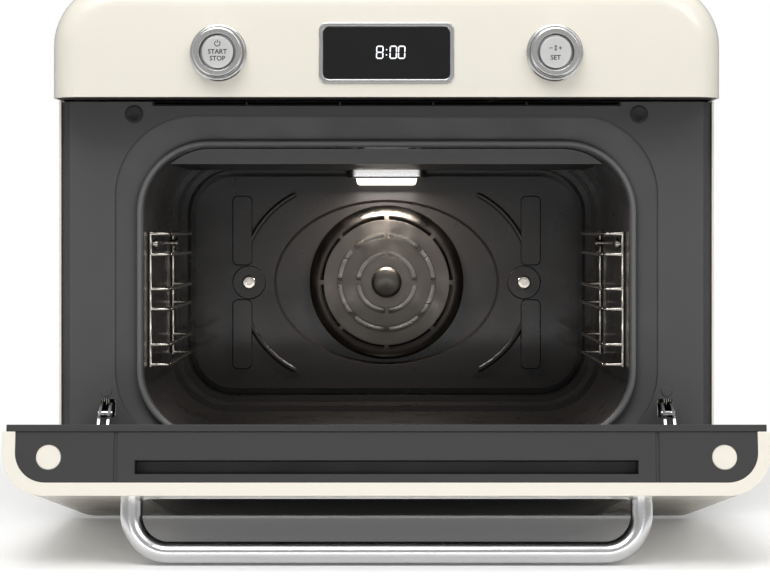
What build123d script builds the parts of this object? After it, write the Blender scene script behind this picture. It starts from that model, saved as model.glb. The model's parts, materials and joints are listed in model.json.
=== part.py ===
from build123d import *
import os
from math import cos, degrees, radians, sin

os.makedirs("parts", exist_ok=True)

# Casing, millimetres. Depths are counted backwards from the front frame's face.
width = 498.0
body_depth = 359.0
hood_bottom = 318.0
hood_top = 405.5
hood_reach = 47.0
hood_corner_radius = 49.0
hood_front_radius = 21.0
hood_wall = 2.0
panel_wall = 1.5
panel_bottom = 40.0
panel_flange = 12.0
fit_gap = 0.5
soft_gap = 0.4

# Front frame and oven opening
frame_thickness = 12.0
frame_skin = 2.0
frame_bottom = 45.0
frame_top = 317.0
frame_face_margin = 8.0
rebate_depth = 6.0
opening_margin = 63.5
opening_bottom = 63.0
opening_top = 283.0
opening_radius = 50.0
ring_margin = 21.0
ring_top_margin = 23.6
ring_bottom_margin = 11.0
ring_step = 2.0
ring_floor_depth = 8.0
gasket_width = 4.5
gasket_proud = 0.6
buffer_radius = 6.9
buffer_margin = 57.0
buffer_z = 307.5
buffer_proud = 0.6
hinge_screw_margin = 36.0
hinge_screw_z = 97.0
vent_slot_margin = 71.0
vent_slot_height = 3.2
vent_dividers = 4

# Oven chamber
liner_wall = 1.2
motor_space = 36.0
boss_depth = 23.0
second_shoulder_length = 16.0
shoulder_length = 44.0
shoulder_inset = 5.0
back_outline_inset = 6.0

# Back panel and fan
fan_z = 173.0
dish_half_width = 100.8
dish_half_height = 74.2
dish_depth = 6.0
guard_radius = 68.5
guard_rise = 9.0
guard_sheet = 1.2
slot_width = 3.6
slot_radii = (57.5, 41.5, 25.0)
slot_counts = (8, 8, 4)
bridge_length = 4.0
hub_radius = 10.5
arc_rib_centre = 41.5
arc_rib_radius = 87.5
arc_rib_width = 3.0
arc_rib_rise = 1.2
arc_rib_start = 14.0
arc_rib_end = 66.5
back_screw_margin = 127.0
fan_radius = 54.0
fan_blades = 12
fan_width = 10.0
shaft_radius = 3.0
bore_gap = 0.05
motor_radius = 28.0
motor_length = 26.0
heater_tube_radius = 3.2
ring_heater_radius = 59.0

# Rails
rail_wire_radius = 1.5
rail_front_depth = 40.0
rail_rear_margin = 8.0
rail_throw = 15.0
rail_levels = (216.5, 200.4, 173.5, 157.8, 130.3, 114.7)

# Roof: shield and lamp
shield_front_depth = 32.0
shield_rear_margin = 37.0
shield_side_gap = 0.5
shield_z = 270.5
shield_sheet = 1.2
lamp_half_width = 35.0
lamp_half_depth = 16.0
lamp_bottom = 264.2
lamp_dome_drop = 5.5
lamp_border_x = 7.0
lamp_border_y = 5.0
lamp_window_radius = 6.0
lamp_corner_radius = 9.0

# Door, laid open on its stays. Heights run from the pivot to the free end.
open_angle = 80.4
pivot_z = 50.0
door_gap = 1.0
door_thickness = 46.0
door_height = 266.0
door_apron = 10.0
door_start = 9.0
lip_margin = 2.5
lip_thickness = 4.5
skin_corner_radius = 28.0
skin_rim = 8.5
skin_wall = 2.0
rim_length = 6.0
cap_thickness = 3.0
cap_inset = 1.0
cap_slot_margin = 86.0
cap_slot_low = 23.0
cap_slot_high = 32.0
plug_margin = 30.0
plug_n = 22.0
plug_radius = 8.3
groove_margin = 73.5
groove_width = 2.4
groove_depth = 1.0
inner_glass_margin = 84.0
inner_glass_low = 55.0
inner_glass_top_margin = 51.0
glass_thickness = 4.0
window_margin = 90.0
window_low = 24.0
window_top_margin = 5.0
window_border = 5.0
window_proud = 1.6
handle_radius = 7.25
handle_margin = 81.4
handle_top_margin = 30.0
handle_reach = 35.4
handle_bend = 24.7
hinge_margin = 23.0
pin_radius = 3.0
knuckle_radius = 6.0
knuckle_width = 5.0
ear_width = 4.0
stay_margin = 37.0
stay_radius = 35.0
stay_depth = 8.0
stay_plate = 2.0
stay_span = 9.0
stay_tail_angle = 72.0
stay_rivet_angle = 116.0
stay_root_angle = 8.0
stay_rivet_radius = 1.8

# Controls
control_z = 350.5
knob_bezel_radius = 21.2
dial_radius = 18.3
dial_bore_radius = 13.6
button_radius = 11.8
sleeve_radius = 8.0
stem_radius = 3.5
bezel_proud = 3.5
dial_proud = 12.0
button_proud = 10.5
button_travel = 1.5
display_half = 50.2
display_half_height = 22.6
display_border = 3.2
display_radius = 6.0
display_proud = 1.4

# Base and feet
base_margin = 76.0
base_front_depth = 40.0
base_rear_margin = 22.0
base_bottom = 7.0
foot_radius = 13.0
foot_taper = 8.0

# Values that follow from the driving ones
half = width / 2
open_turn = radians(open_angle)
door_back = door_gap + door_thickness
reach_forward = door_height * sin(open_turn) + door_back * cos(open_turn)
front_y = (reach_forward - body_depth) / 2
opening_half = half - opening_margin
opening_z = (opening_bottom + opening_top) / 2
opening_height = opening_top - opening_bottom
frame_face_half = half - frame_face_margin
buffer_x = half - buffer_margin
hinge_screw_x = half - hinge_screw_margin
vent_slot_half = half - vent_slot_margin
lip_half = half - lip_margin
cap_slot_half = half - cap_slot_margin
plug_x = half - plug_margin
groove_x = half - groove_margin
inner_glass_half = half - inner_glass_margin
window_half = half - window_margin
handle_half = half - handle_margin
handle_height = door_height - handle_top_margin
window_high = door_height - window_top_margin
inner_glass_high = door_height - inner_glass_top_margin
hinge_x = half - hinge_margin
stay_x = half - stay_margin
base_half = half - base_margin
back_screw_x = half - back_screw_margin
dial_x = half / 2
rear_wall_depth = body_depth - motor_space
chamber_depth = rear_wall_depth - boss_depth
second_shoulder_depth = chamber_depth - second_shoulder_length
shoulder_depth = second_shoulder_depth - shoulder_length
shield_rear_depth = shoulder_depth - shield_rear_margin
rail_length = shoulder_depth - rail_rear_margin - rail_front_depth
lamp_depth = (shoulder_depth + second_shoulder_depth) / 2
panel_inside = half - panel_wall
floor_plate_z = panel_bottom + panel_wall


def section(depth):
    """Plane facing forwards, at a depth behind the frame's face; X across, Y up."""
    return Plane(origin=(0, front_y + depth, 0), x_dir=(1, 0, 0), z_dir=(0, -1, 0))


def side(x):
    """Plane across X with its origin on the door's pivot line; X backwards, Y up."""
    return Plane(origin=(x, front_y, pivot_z), x_dir=(0, 1, 0), z_dir=(1, 0, 0))


door_up = Vector(0, -sin(open_turn), cos(open_turn))
door_out = Vector(0, -cos(open_turn), -sin(open_turn))
pivot = Vector(0, front_y, pivot_z)


def door_section(height):
    """Plane across the open door at a height from the pivot; Y towards its inner face."""
    return Plane(origin=pivot + door_up * height, x_dir=(1, 0, 0), z_dir=door_up)


def door_layer(out):
    """Plane along the open door at a distance outwards from the pivot; Y up the door."""
    return Plane(origin=pivot + door_out * out, x_dir=(1, 0, 0), z_dir=door_out)


def door_side(x):
    """Plane across X in the door's own directions; X outwards, Y up the door."""
    return Plane(origin=(x, front_y, pivot_z), x_dir=door_out, z_dir=(-1, 0, 0))


def keep(builder, name):
    """Label a finished piece and write it."""
    builder.part.label = name
    export_step(builder.part, f"parts/{name}.step")


def keep_pair(builder, name):
    """Write a left-hand piece and its mirror image."""
    keep(builder, name + "_left")
    with BuildPart() as other:
        add(mirror(builder.part, about=Plane.YZ))
    keep(other, name + "_right")


def keep_both(builder, name):
    """Write a piece and its mirror image as two solids of one node."""
    with BuildPart() as both:
        add(builder.part)
        add(mirror(builder.part, about=Plane.YZ))
    keep(both, name)


def plate_between(half_width, low, high, radius):
    """Rounded plate outline centred on X between two heights, for the open sketch."""
    with Locations((0, (low + high) / 2)):
        RectangleRounded(2 * half_width, high - low, radius)


def arc_band(centre, radius, breadth, start, sweep_angle):
    """Band of constant breadth along an arc, for the open sketch."""
    with BuildLine() as outline:
        outer = CenterArc(centre, radius + breadth / 2, start, sweep_angle)
        inner = CenterArc(centre, radius - breadth / 2, start, sweep_angle)
        Line(outer @ 0, inner @ 0)
        Line(outer @ 1, inner @ 1)
    make_face(outline.edges())


# Hood: one shell with the control fascia as its front
def hood_block(inset):
    with BuildPart() as block:
        with BuildSketch(section(inset - hood_reach)) as outline:
            with Locations((0, hood_bottom)):
                Rectangle(width - 2 * inset, hood_top - inset - hood_bottom,
                          align=(Align.CENTER, Align.MIN))
            fillet(outline.vertices().group_by(Axis.Y)[-1], hood_corner_radius - inset)
        extrude(amount=-(hood_reach + body_depth - inset))
        front = block.faces().sort_by(Axis.Y)[0]
        rounded = front.edges().filter_by(lambda edge: edge.center().Z > hood_bottom + 1)
        fillet(rounded, hood_front_radius - inset)
    return block.part


with BuildPart() as hood:
    add(hood_block(0))
    with BuildSketch(section(-hood_reach - 1)):
        with Locations((-dial_x, control_z), (dial_x, control_z)):
            Circle(sleeve_radius + 1)
        with Locations((0, control_z)):
            RectangleRounded(2 * (display_half - display_border), 2 * (display_half_height - display_border),
                             display_radius - display_border / 2)
    extrude(amount=-(hood_wall + 2), mode=Mode.SUBTRACT)
    add(hood_block(hood_wall), mode=Mode.SUBTRACT)
    with BuildSketch(section(body_depth - hood_wall - 1)):
        with Locations((0, hood_bottom)):
            Rectangle(width - 2 * hood_wall, hood_top - hood_bottom - hood_corner_radius,
                      align=(Align.CENTER, Align.MIN))
    extrude(amount=-(hood_wall + 2), mode=Mode.SUBTRACT)
keep(hood, "hood")

# Tray under the fascia, which closes the hood's underside ahead of the frame
tray_sheet = 1.2
with BuildPart() as fascia_tray:
    with BuildSketch(Plane.XY.offset(hood_bottom + fit_gap)):
        with Locations((0, front_y - hood_reach + hood_wall + fit_gap)):
            Rectangle(width - 2 * (hood_wall + fit_gap), hood_reach - hood_wall - fit_gap - 1,
                      align=(Align.CENTER, Align.MIN))
    extrude(amount=tray_sheet)
    tray_corners = fascia_tray.edges().filter_by(Axis.Z).group_by(Axis.Y)[0]
    fillet(tray_corners, hood_front_radius - hood_wall)
keep(fascia_tray, "fascia_tray")

# Side panels: sheet with flanges turned in along the bottom and the top, and cooling slots
flange_start = frame_thickness + 1
side_top = hood_bottom - fit_gap
side_slots = 7
side_slot_pitch = 16.0
side_slot_length = 50.0
side_slot_width = 5.0
side_slot_depth = 0.72 * body_depth
side_slot_z = panel_bottom + 50.0
with BuildPart() as side_panel:
    with BuildSketch(section(fit_gap)):
        with Locations((-half, panel_bottom)):
            Rectangle(panel_wall, side_top - panel_bottom, align=(Align.MIN, Align.MIN))
    extrude(amount=-(body_depth - fit_gap))
    with BuildSketch(section(flange_start)):
        with Locations((-half, panel_bottom), (-half, side_top - panel_wall)):
            Rectangle(panel_flange, panel_wall, align=(Align.MIN, Align.MIN))
    extrude(amount=-(body_depth - flange_start - panel_wall - fit_gap))
    outer_edges = side_panel.edges().filter_by(Axis.Y).group_by(Axis.X)[0].sort_by(Axis.Z)
    fillet(outer_edges[0], panel_wall * 0.8)
    with BuildSketch(Plane(origin=(-half - 1, front_y + side_slot_depth, side_slot_z), x_dir=(0, 1, 0),
                           z_dir=(1, 0, 0))):
        with GridLocations(side_slot_pitch, 1, side_slots, 1):
            SlotOverall(side_slot_length, side_slot_width, rotation=90)
    extrude(amount=panel_wall + 2, mode=Mode.SUBTRACT)
keep_pair(side_panel, "side_panel")

# Rear panel with louvre slots, a fan bulge and the cable gland's hole
rear_gap = 0.5
louvre_rows = 9
louvre_columns = 5
louvre_pitch = 9.0
louvre_length = 46.0
louvre_width = 3.6
louvre_spacing = 60.0
louvre_z = hood_bottom - 68.0
upper_louvre_z = hood_bottom + 42.0
upper_louvres = 4
gland_x = -150.0
gland_z = 82.0
gland_radius = 8.0
with BuildPart() as rear_panel:
    with BuildSketch(section(body_depth - panel_wall)) as rear_outline:
        with Locations((0, floor_plate_z)):
            Rectangle(2 * (panel_inside - rear_gap), hood_top - hood_wall - rear_gap - floor_plate_z,
                      align=(Align.CENTER, Align.MIN))
        fillet(rear_outline.vertices().group_by(Axis.Y)[-1], hood_corner_radius - hood_wall)
    extrude(amount=-panel_wall)
    with BuildSketch(section(body_depth - 2 * panel_wall)):
        with Locations((0, louvre_z)):
            with GridLocations(louvre_spacing, louvre_pitch, louvre_columns, louvre_rows):
                SlotOverall(louvre_length, louvre_width)
        with Locations((0, upper_louvre_z)):
            with GridLocations(louvre_spacing, louvre_pitch, upper_louvres, upper_louvres):
                SlotOverall(louvre_length, louvre_width)
        with Locations((gland_x, gland_z)):
            Circle(gland_radius + fit_gap)
    extrude(amount=-4 * panel_wall, mode=Mode.SUBTRACT)
keep(rear_panel, "rear_panel")

# Cable gland in the rear panel, with the terminal box inside it
gland_flange_radius = 12.0
gland_bore_radius = 4.2
gland_proud = 5.0
with BuildPart() as cable_gland:
    with BuildSketch(section(body_depth + gland_proud)):
        with Locations((gland_x, gland_z)):
            Circle(gland_radius)
            Circle(gland_bore_radius, mode=Mode.SUBTRACT)
    extrude(amount=gland_proud + panel_wall + 5)
    with BuildSketch(section(body_depth + 2)):
        with Locations((gland_x, gland_z)):
            Circle(gland_flange_radius)
            Circle(gland_bore_radius, mode=Mode.SUBTRACT)
    extrude(amount=2)
keep(cable_gland, "cable_gland")

terminal_box_width = 46.0
terminal_box_height = 40.0
terminal_box_depth = 20.0
with BuildPart() as terminal_box:
    with BuildSketch(section(body_depth - panel_wall - 5.5)):
        with Locations((gland_x, gland_z)):
            RectangleRounded(terminal_box_width, terminal_box_height, 3)
    extrude(amount=terminal_box_depth)
    fillet(terminal_box.faces().sort_by(Axis.Y)[0].edges(), 2)
keep(terminal_box, "terminal_box")

# Floor plate, base pan and feet
base_rear_depth = body_depth - base_rear_margin
base_middle = front_y + (base_front_depth + base_rear_depth) / 2
base_length = base_rear_depth - base_front_depth
base_corner_radius = 14.0
base_wall = 2.0
base_edge_radius = 5.0
foot_margin = 25.0
floor_slot_length = 40.0
floor_slot_width = 5.0
floor_slot_pitch_x = 60.0
floor_slot_pitch_y = 18.0
floor_slot_columns = 4
floor_slot_rows = 7
base_slot_length = 28.0
base_slot_width = 4.0
base_slot_pitch_x = 40.0
base_slot_pitch_y = 14.0
base_slot_columns = 6
base_slot_rows = 5
with BuildPart() as floor_plate:
    with BuildSketch(Plane.XY.offset(floor_plate_z)):
        with Locations((0, front_y + frame_thickness + fit_gap)):
            Rectangle(2 * (panel_inside - fit_gap), body_depth - frame_thickness - panel_wall - 2 * fit_gap,
                      align=(Align.CENTER, Align.MIN))
    extrude(amount=panel_wall)
    with BuildSketch(Plane.XY.offset(floor_plate_z)):
        with Locations((0, base_middle)):
            with GridLocations(floor_slot_pitch_x, floor_slot_pitch_y, floor_slot_columns, floor_slot_rows):
                SlotOverall(floor_slot_length, floor_slot_width)
    extrude(amount=panel_wall, mode=Mode.SUBTRACT)
keep(floor_plate, "floor_plate")

with BuildPart() as base_pan:
    with BuildSketch(Plane.XY.offset(base_bottom)):
        with Locations((0, base_middle)):
            RectangleRounded(2 * base_half, base_length, base_corner_radius)
    extrude(amount=floor_plate_z - base_bottom)
    fillet(base_pan.faces().sort_by(Axis.Z)[0].edges(), base_edge_radius)
    with BuildSketch(Plane.XY.offset(base_bottom + base_wall)):
        with Locations((0, base_middle)):
            RectangleRounded(2 * (base_half - base_wall), base_length - 2 * base_wall,
                             base_corner_radius - base_wall)
    extrude(amount=floor_plate_z - base_bottom, mode=Mode.SUBTRACT)
    with BuildSketch(Plane.XY.offset(base_bottom)):
        with Locations((0, base_middle)):
            with GridLocations(base_slot_pitch_x, base_slot_pitch_y, base_slot_columns, base_slot_rows):
                SlotOverall(base_slot_length, base_slot_width)
    extrude(amount=base_wall + 1, mode=Mode.SUBTRACT)
keep(base_pan, "base_pan")

with BuildPart() as feet:
    with BuildSketch(Plane.XY):
        with Locations((0, base_middle)):
            with GridLocations(2 * (base_half - foot_margin), base_length - 2 * foot_margin, 2, 2):
                Circle(foot_radius)
    extrude(amount=base_bottom, taper=foot_taper)
keep(feet, "feet")


# Front frame: pressed face with a stepped cove round the opening
ring_half = opening_half + ring_margin
ring_top = opening_top + ring_top_margin
ring_bottom = opening_bottom - ring_bottom_margin
ring_radius = opening_radius + 11
seat_width = gasket_width + 0.6
stay_inner = stay_radius - stay_depth / 2
stay_slot_low = pivot_z + (stay_inner ** 2 - frame_thickness ** 2) ** 0.5 - 1.5
stay_slot_high = pivot_z + stay_radius + stay_depth / 2 + 2
slot_half = stay_span / 2 + 1.5
hinge_notch_width = 20.0
hinge_notch_top = pivot_z + 2 * knuckle_radius

with BuildPart() as front_frame:
    with BuildSketch(section(0)):
        plate_between(panel_inside - fit_gap, frame_bottom, frame_top, 1)
    extrude(amount=-frame_thickness)
    for across in (-1, 1):
        with BuildSketch(section(0)):
            with Locations((across * (frame_face_half + panel_inside) / 2, (frame_bottom + frame_top) / 2)):
                Rectangle(panel_inside - frame_face_half, frame_top - frame_bottom + 2)
        extrude(amount=-rebate_depth, mode=Mode.SUBTRACT)
    # hollow back outside the cove
    with BuildSketch(section(frame_skin)):
        plate_between(frame_face_half - frame_skin, frame_bottom + 3, frame_top - 9, 3)
        with Locations((0, (ring_top + frame_skin + frame_bottom) / 2)):
            Rectangle(2 * (ring_half + frame_skin), ring_top + frame_skin - frame_bottom, mode=Mode.SUBTRACT)
    extrude(amount=-frame_thickness, mode=Mode.SUBTRACT)
    # step down to the cove
    with BuildSketch(section(0)):
        plate_between(ring_half, ring_bottom, ring_top, ring_radius)
    extrude(amount=-ring_step, mode=Mode.SUBTRACT)
    # cove that slopes back to the gasket's seat
    with BuildSketch(section(ring_step)):
        plate_between(ring_half - 2, ring_bottom + 1, ring_top - 2, ring_radius - 2)
    with BuildSketch(section(ring_floor_depth)):
        plate_between(opening_half + seat_width, opening_bottom - seat_width, opening_top + seat_width,
                      opening_radius + seat_width)
    loft(mode=Mode.SUBTRACT)
    with BuildSketch(section(0)):
        plate_between(opening_half, opening_bottom, opening_top, opening_radius)
    extrude(amount=-frame_thickness, mode=Mode.SUBTRACT)
    # air outlet along the top, hinge notches, stay slots, buffer and screw holes
    with BuildSketch(section(0)):
        with Locations((0, frame_top)):
            Rectangle(2 * vent_slot_half, 2 * vent_slot_height, align=(Align.CENTER, Align.CENTER))
        with Locations((-hinge_x, frame_bottom), (hinge_x, frame_bottom)):
            Rectangle(hinge_notch_width, 2 * (hinge_notch_top - frame_bottom))
        with Locations((-stay_x, (stay_slot_low + stay_slot_high) / 2),
                       (stay_x, (stay_slot_low + stay_slot_high) / 2)):
            RectangleRounded(2 * slot_half, stay_slot_high - stay_slot_low, 2)
        with Locations((-buffer_x, buffer_z), (buffer_x, buffer_z)):
            Circle(3)
        with Locations((-hinge_screw_x, hinge_screw_z), (hinge_screw_x, hinge_screw_z)):
            Circle(2.4)
    extrude(amount=-frame_thickness, mode=Mode.SUBTRACT)
keep(front_frame, "front_frame")

# Door gasket: one rubber bead round the opening, in its seat in the cove
with BuildPart() as door_gasket:
    with BuildSketch(section(ring_floor_depth - soft_gap)):
        plate_between(opening_half + gasket_width, opening_bottom - gasket_width,
                      opening_top + gasket_width, opening_radius + gasket_width)
        with Locations((0, opening_z)):
            RectangleRounded(2 * opening_half, opening_height, opening_radius, mode=Mode.SUBTRACT)
    extrude(amount=ring_floor_depth - soft_gap + gasket_proud)
    fillet(door_gasket.faces().sort_by(Axis.Y)[0].edges(), gasket_width * 0.4)
keep(door_gasket, "door_gasket")

with BuildPart() as door_buffers:
    with BuildSketch(section(-soft_gap)):
        with Locations((-buffer_x, buffer_z), (buffer_x, buffer_z)):
            Circle(buffer_radius)
    extrude(amount=buffer_proud - soft_gap + 0.2)
    fillet(door_buffers.faces().group_by(Axis.Y)[0].edges(), 0.25)
    with BuildSketch(section(-soft_gap)):
        with Locations((-buffer_x, buffer_z), (buffer_x, buffer_z)):
            Circle(3 - soft_gap)
    extrude(amount=-(frame_skin + soft_gap + 2))
keep(door_buffers, "door_buffers")

# Air outlet grille under the hood
grille_depth = 30.0
with BuildPart() as vent_grille:
    with BuildSketch(section(fit_gap)):
        with Locations((0, frame_top)):
            Rectangle(2 * (vent_slot_half - fit_gap), vent_slot_height - fit_gap,
                      align=(Align.CENTER, Align.MAX))
    extrude(amount=-grille_depth)
    bay = 2 * (vent_slot_half - fit_gap) / (vent_dividers + 1)
    with BuildSketch(section(fit_gap)):
        with Locations((0, frame_top - vent_slot_height / 2 + 0.4)):
            with GridLocations(bay, 1, vent_dividers + 1, 1):
                Rectangle(bay - 1.2, vent_slot_height - 1.2)
    extrude(amount=-grille_depth, mode=Mode.SUBTRACT)
keep(vent_grille, "vent_grille")


# Oven chamber: enamelled liner with two shoulders towards the back
def chamber(grow):
    with BuildPart() as room:
        stages = ((-1 if grow == 0 else frame_thickness + fit_gap, shoulder_depth, 0),
                  (shoulder_depth, second_shoulder_depth, shoulder_inset),
                  (second_shoulder_depth, rear_wall_depth, 2 * shoulder_inset))
        for start, end, inset in stages:
            with BuildSketch(section(start)):
                plate_between(opening_half + grow - inset, opening_bottom - grow + inset,
                              opening_top + grow - inset, opening_radius + grow - inset)
            extrude(amount=-(end - start + grow))
    return room.part


terminal_radius = 2.5
ring_terminals = ((-8.0, fan_z - ring_heater_radius), (8.0, fan_z - ring_heater_radius))
grill_end_x = 22.0
grill_rear = shield_rear_depth - 11.0
with BuildPart() as cavity_liner:
    add(chamber(liner_wall))
    add(chamber(0), mode=Mode.SUBTRACT)
    # lamp opening, motor shaft hole, rail stud holes, back panel screw bosses
    with BuildSketch(Plane.XY.offset(opening_top - 2 * shoulder_inset - 1)):
        with Locations((0, front_y + lamp_depth)):
            RectangleRounded(2 * (lamp_half_width - lamp_border_x), 2 * (lamp_half_depth - lamp_border_y),
                             lamp_window_radius)
    extrude(amount=14, mode=Mode.SUBTRACT)
    with BuildSketch(section(rear_wall_depth)):
        for across in (-1, 1):
            with Locations((across * back_screw_x, fan_z)):
                Circle(9)
    extrude(amount=boss_depth - 2)
    with BuildSketch(section(rear_wall_depth + 2)):
        with Locations((0, fan_z)):
            Circle(shaft_radius + 2.5)
        with Locations((-back_screw_x, fan_z), (back_screw_x, fan_z)):
            Circle(2)
        with Locations(*ring_terminals):
            Circle(terminal_radius + 0.4)
    extrude(amount=boss_depth + 2, mode=Mode.SUBTRACT)
    with BuildSketch(Plane.XY.offset(opening_top - 1)):
        with Locations((-grill_end_x, front_y + grill_rear), (grill_end_x, front_y + grill_rear)):
            Circle(heater_tube_radius + 0.4)
    extrude(amount=liner_wall + 2, mode=Mode.SUBTRACT)
keep(cavity_liner, "cavity_liner")

# Back panel: sheet with the oval dish, arc ribs, oblong embossings and screw bosses
back_half = opening_half - 2 * shoulder_inset - back_outline_inset
back_low = opening_bottom + 2 * shoulder_inset + back_outline_inset
back_high = opening_top - 2 * shoulder_inset - back_outline_inset
back_radius = 34.0
sheet = 1.2
emboss = 2.0
oblong_x = back_screw_x + 6.0
oblong_z = 46.0
oblong_width = 18.0
oblong_length = 62.0
boss_radius = 15.0
dish_slope = 3.0


def dish(grow, start, end):
    """Oval tapered block between two depths, for the dish's outside or inside."""
    with BuildPart() as block:
        for depth, narrowing in ((start, 0), (end, dish_slope)):
            with BuildSketch(section(depth)):
                with Locations((0, fan_z)):
                    Ellipse(dish_half_width + grow - narrowing, dish_half_height + grow - narrowing)
        loft()
    return block.part


with BuildPart() as back_panel:
    with BuildSketch(section(chamber_depth)):
        plate_between(back_half, back_low, back_high, back_radius)
    extrude(amount=-sheet)
    with BuildSketch(section(chamber_depth + sheet)):
        plate_between(back_half, back_low, back_high, back_radius)
        with Locations((0, (back_low + back_high) / 2)):
            RectangleRounded(2 * (back_half - sheet), back_high - back_low - 2 * sheet,
                             back_radius - sheet, mode=Mode.SUBTRACT)
    extrude(amount=-(boss_depth - sheet - fit_gap))
    with BuildSketch(section(chamber_depth)):
        with Locations((-back_screw_x, fan_z), (back_screw_x, fan_z)):
            Circle(boss_radius)
        for across in (-1, 1):
            with Locations((across * oblong_x, fan_z - oblong_z), (across * oblong_x, fan_z + oblong_z)):
                RectangleRounded(oblong_width, oblong_length, 5)
    extrude(amount=emboss, taper=25)
    for across in (-1, 1):
        for rise in (-1, 1):
            low, high = sorted((rise * arc_rib_start, rise * arc_rib_end))
            if across < 0:
                low, high = 180 - high, 180 - low
            with BuildSketch(section(chamber_depth)):
                arc_band((across * arc_rib_centre, fan_z), arc_rib_radius, arc_rib_width, low, high - low)
            extrude(amount=arc_rib_rise)
    add(dish(sheet, chamber_depth + sheet / 2, chamber_depth + dish_depth + sheet))
    add(dish(0, chamber_depth - emboss, chamber_depth + dish_depth), mode=Mode.SUBTRACT)
    with BuildSketch(section(chamber_depth - emboss)):
        with Locations((0, fan_z)):
            Circle(guard_radius - 5)
        with Locations((-back_screw_x, fan_z), (back_screw_x, fan_z)):
            Circle(2.6)
    extrude(amount=-(boss_depth + emboss), mode=Mode.SUBTRACT)
keep(back_panel, "back_panel")


# Fan guard: stepped dome pressed from sheet, with three rings of slots between bridges
guard_front = chamber_depth + dish_depth - guard_rise - guard_sheet
guard_steps = ((guard_radius, guard_rise), (guard_radius - 3, 5.0), (slot_radii[0] + slot_width, 3.2),
               (slot_radii[0] - slot_width, 2.2), (slot_radii[1] + slot_width, 3.0),
               (slot_radii[1] - slot_width, 1.6), (slot_radii[2] + slot_width, 2.4),
               (slot_radii[2] - slot_width, 1.0), (hub_radius + 3, 2.0), (hub_radius, 0.4), (0, 0.0))
guard_axis = Plane(origin=(0, front_y + guard_front, fan_z), x_dir=(1, 0, 0), z_dir=(0, 0, 1))
with BuildPart() as fan_guard:
    with BuildSketch(guard_axis):
        with BuildLine():
            Polyline(*[(radius, drop) for radius, drop in guard_steps],
                     *[(radius, drop + guard_sheet) for radius, drop in reversed(guard_steps)], close=True)
        make_face()
    revolve(axis=Axis((0, front_y, fan_z), (0, 1, 0)), revolution_arc=360)
    with BuildSketch(section(guard_front - 1)):
        for ring, (radius, count) in enumerate(zip(slot_radii, slot_counts)):
            bridge = degrees(bridge_length / radius)
            for place in range(count):
                start = 90 + 360 * place / count + bridge / 2
                arc_band((0, fan_z), radius, slot_width, start, 360 / count - bridge)
    extrude(amount=-(guard_rise + 3), mode=Mode.SUBTRACT)
keep(fan_guard, "fan_guard")

# Convection fan: back plate with pressed blades, its hub and the motor's shaft
fan_front = chamber_depth + dish_depth + guard_sheet + 3
blade_sheet = 0.9
with BuildPart() as convection_fan:
    with BuildSketch(section(fan_front + fan_width)):
        with Locations((0, fan_z)):
            Circle(fan_radius)
            Circle(shaft_radius, mode=Mode.SUBTRACT)
    extrude(amount=-blade_sheet)
    with BuildSketch(section(fan_front)):
        with Locations((0, fan_z)):
            with PolarLocations(fan_radius * 0.74, fan_blades):
                Rectangle(fan_radius * 0.46, blade_sheet, rotation=24)
            Circle(7)
            Circle(shaft_radius, mode=Mode.SUBTRACT)
    extrude(amount=-fan_width)
keep(convection_fan, "convection_fan")

motor_front = rear_wall_depth + liner_wall + 3
shaft_start = fan_front
with BuildPart() as fan_shaft:
    with BuildSketch(section(shaft_start)):
        with Locations((0, fan_z)):
            Circle(shaft_radius)
    extrude(amount=-(motor_front + motor_length - 4 - shaft_start))
    with BuildSketch(section(shaft_start)):
        with Locations((0, fan_z)):
            RegularPolygon(5, 6)
    extrude(amount=1.6)
keep(fan_shaft, "fan_shaft")

with BuildPart() as fan_motor:
    with BuildSketch(section(motor_front)):
        with Locations((0, fan_z)):
            Circle(motor_radius)
    extrude(amount=-motor_length)
    fillet(fan_motor.edges().filter_by(GeomType.CIRCLE), 3)
    with BuildSketch(section(motor_front)):
        with Locations((0, fan_z)):
            Circle(9)
    extrude(amount=3 - fit_gap)
    with BuildSketch(section(motor_front)):
        with Locations((0, fan_z)):
            SlotOverall(2 * motor_radius + 34, 14)
    extrude(amount=-2)
    with BuildSketch(section(motor_front - 4)):
        with Locations((0, fan_z)):
            Circle(shaft_radius + bore_gap)
    extrude(amount=-motor_length, mode=Mode.SUBTRACT)
keep(fan_motor, "fan_motor")


# Ring heater round the fan, with its two terminals through the back wall
ring_depth = fan_front + fan_width / 2
with BuildPart() as ring_heater:
    with BuildSketch(Plane(origin=(0, front_y + ring_depth, fan_z), x_dir=(1, 0, 0), z_dir=(0, 0, 1))):
        with Locations((ring_heater_radius, 0)):
            Circle(heater_tube_radius)
    revolve(axis=Axis((0, front_y, fan_z), (0, 1, 0)), revolution_arc=360)
    with BuildSketch(section(ring_depth)):
        with Locations(*ring_terminals):
            Circle(terminal_radius)
    extrude(amount=-(rear_wall_depth + liner_wall + 9 - ring_depth))
keep(ring_heater, "ring_heater")

# Back panel screws
screw_head = 6.2
with BuildPart() as back_screws:
    with BuildSketch(section(chamber_depth - emboss - 0.05)):
        with Locations((-back_screw_x, fan_z), (back_screw_x, fan_z)):
            Circle(screw_head)
    extrude(amount=2.4)
    fillet(back_screws.faces().group_by(Axis.Y)[0].edges(), 1.6)
    with BuildSketch(section(chamber_depth - emboss - 3)):
        with Locations((-back_screw_x, fan_z), (back_screw_x, fan_z)):
            RegularPolygon(2.4, 6)
    extrude(amount=-1.6, mode=Mode.SUBTRACT)
    with BuildSketch(section(chamber_depth - emboss - 0.1)):
        with Locations((-back_screw_x, fan_z), (back_screw_x, fan_z)):
            Circle(1.9)
    extrude(amount=-(emboss + boss_depth - 4))

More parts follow.
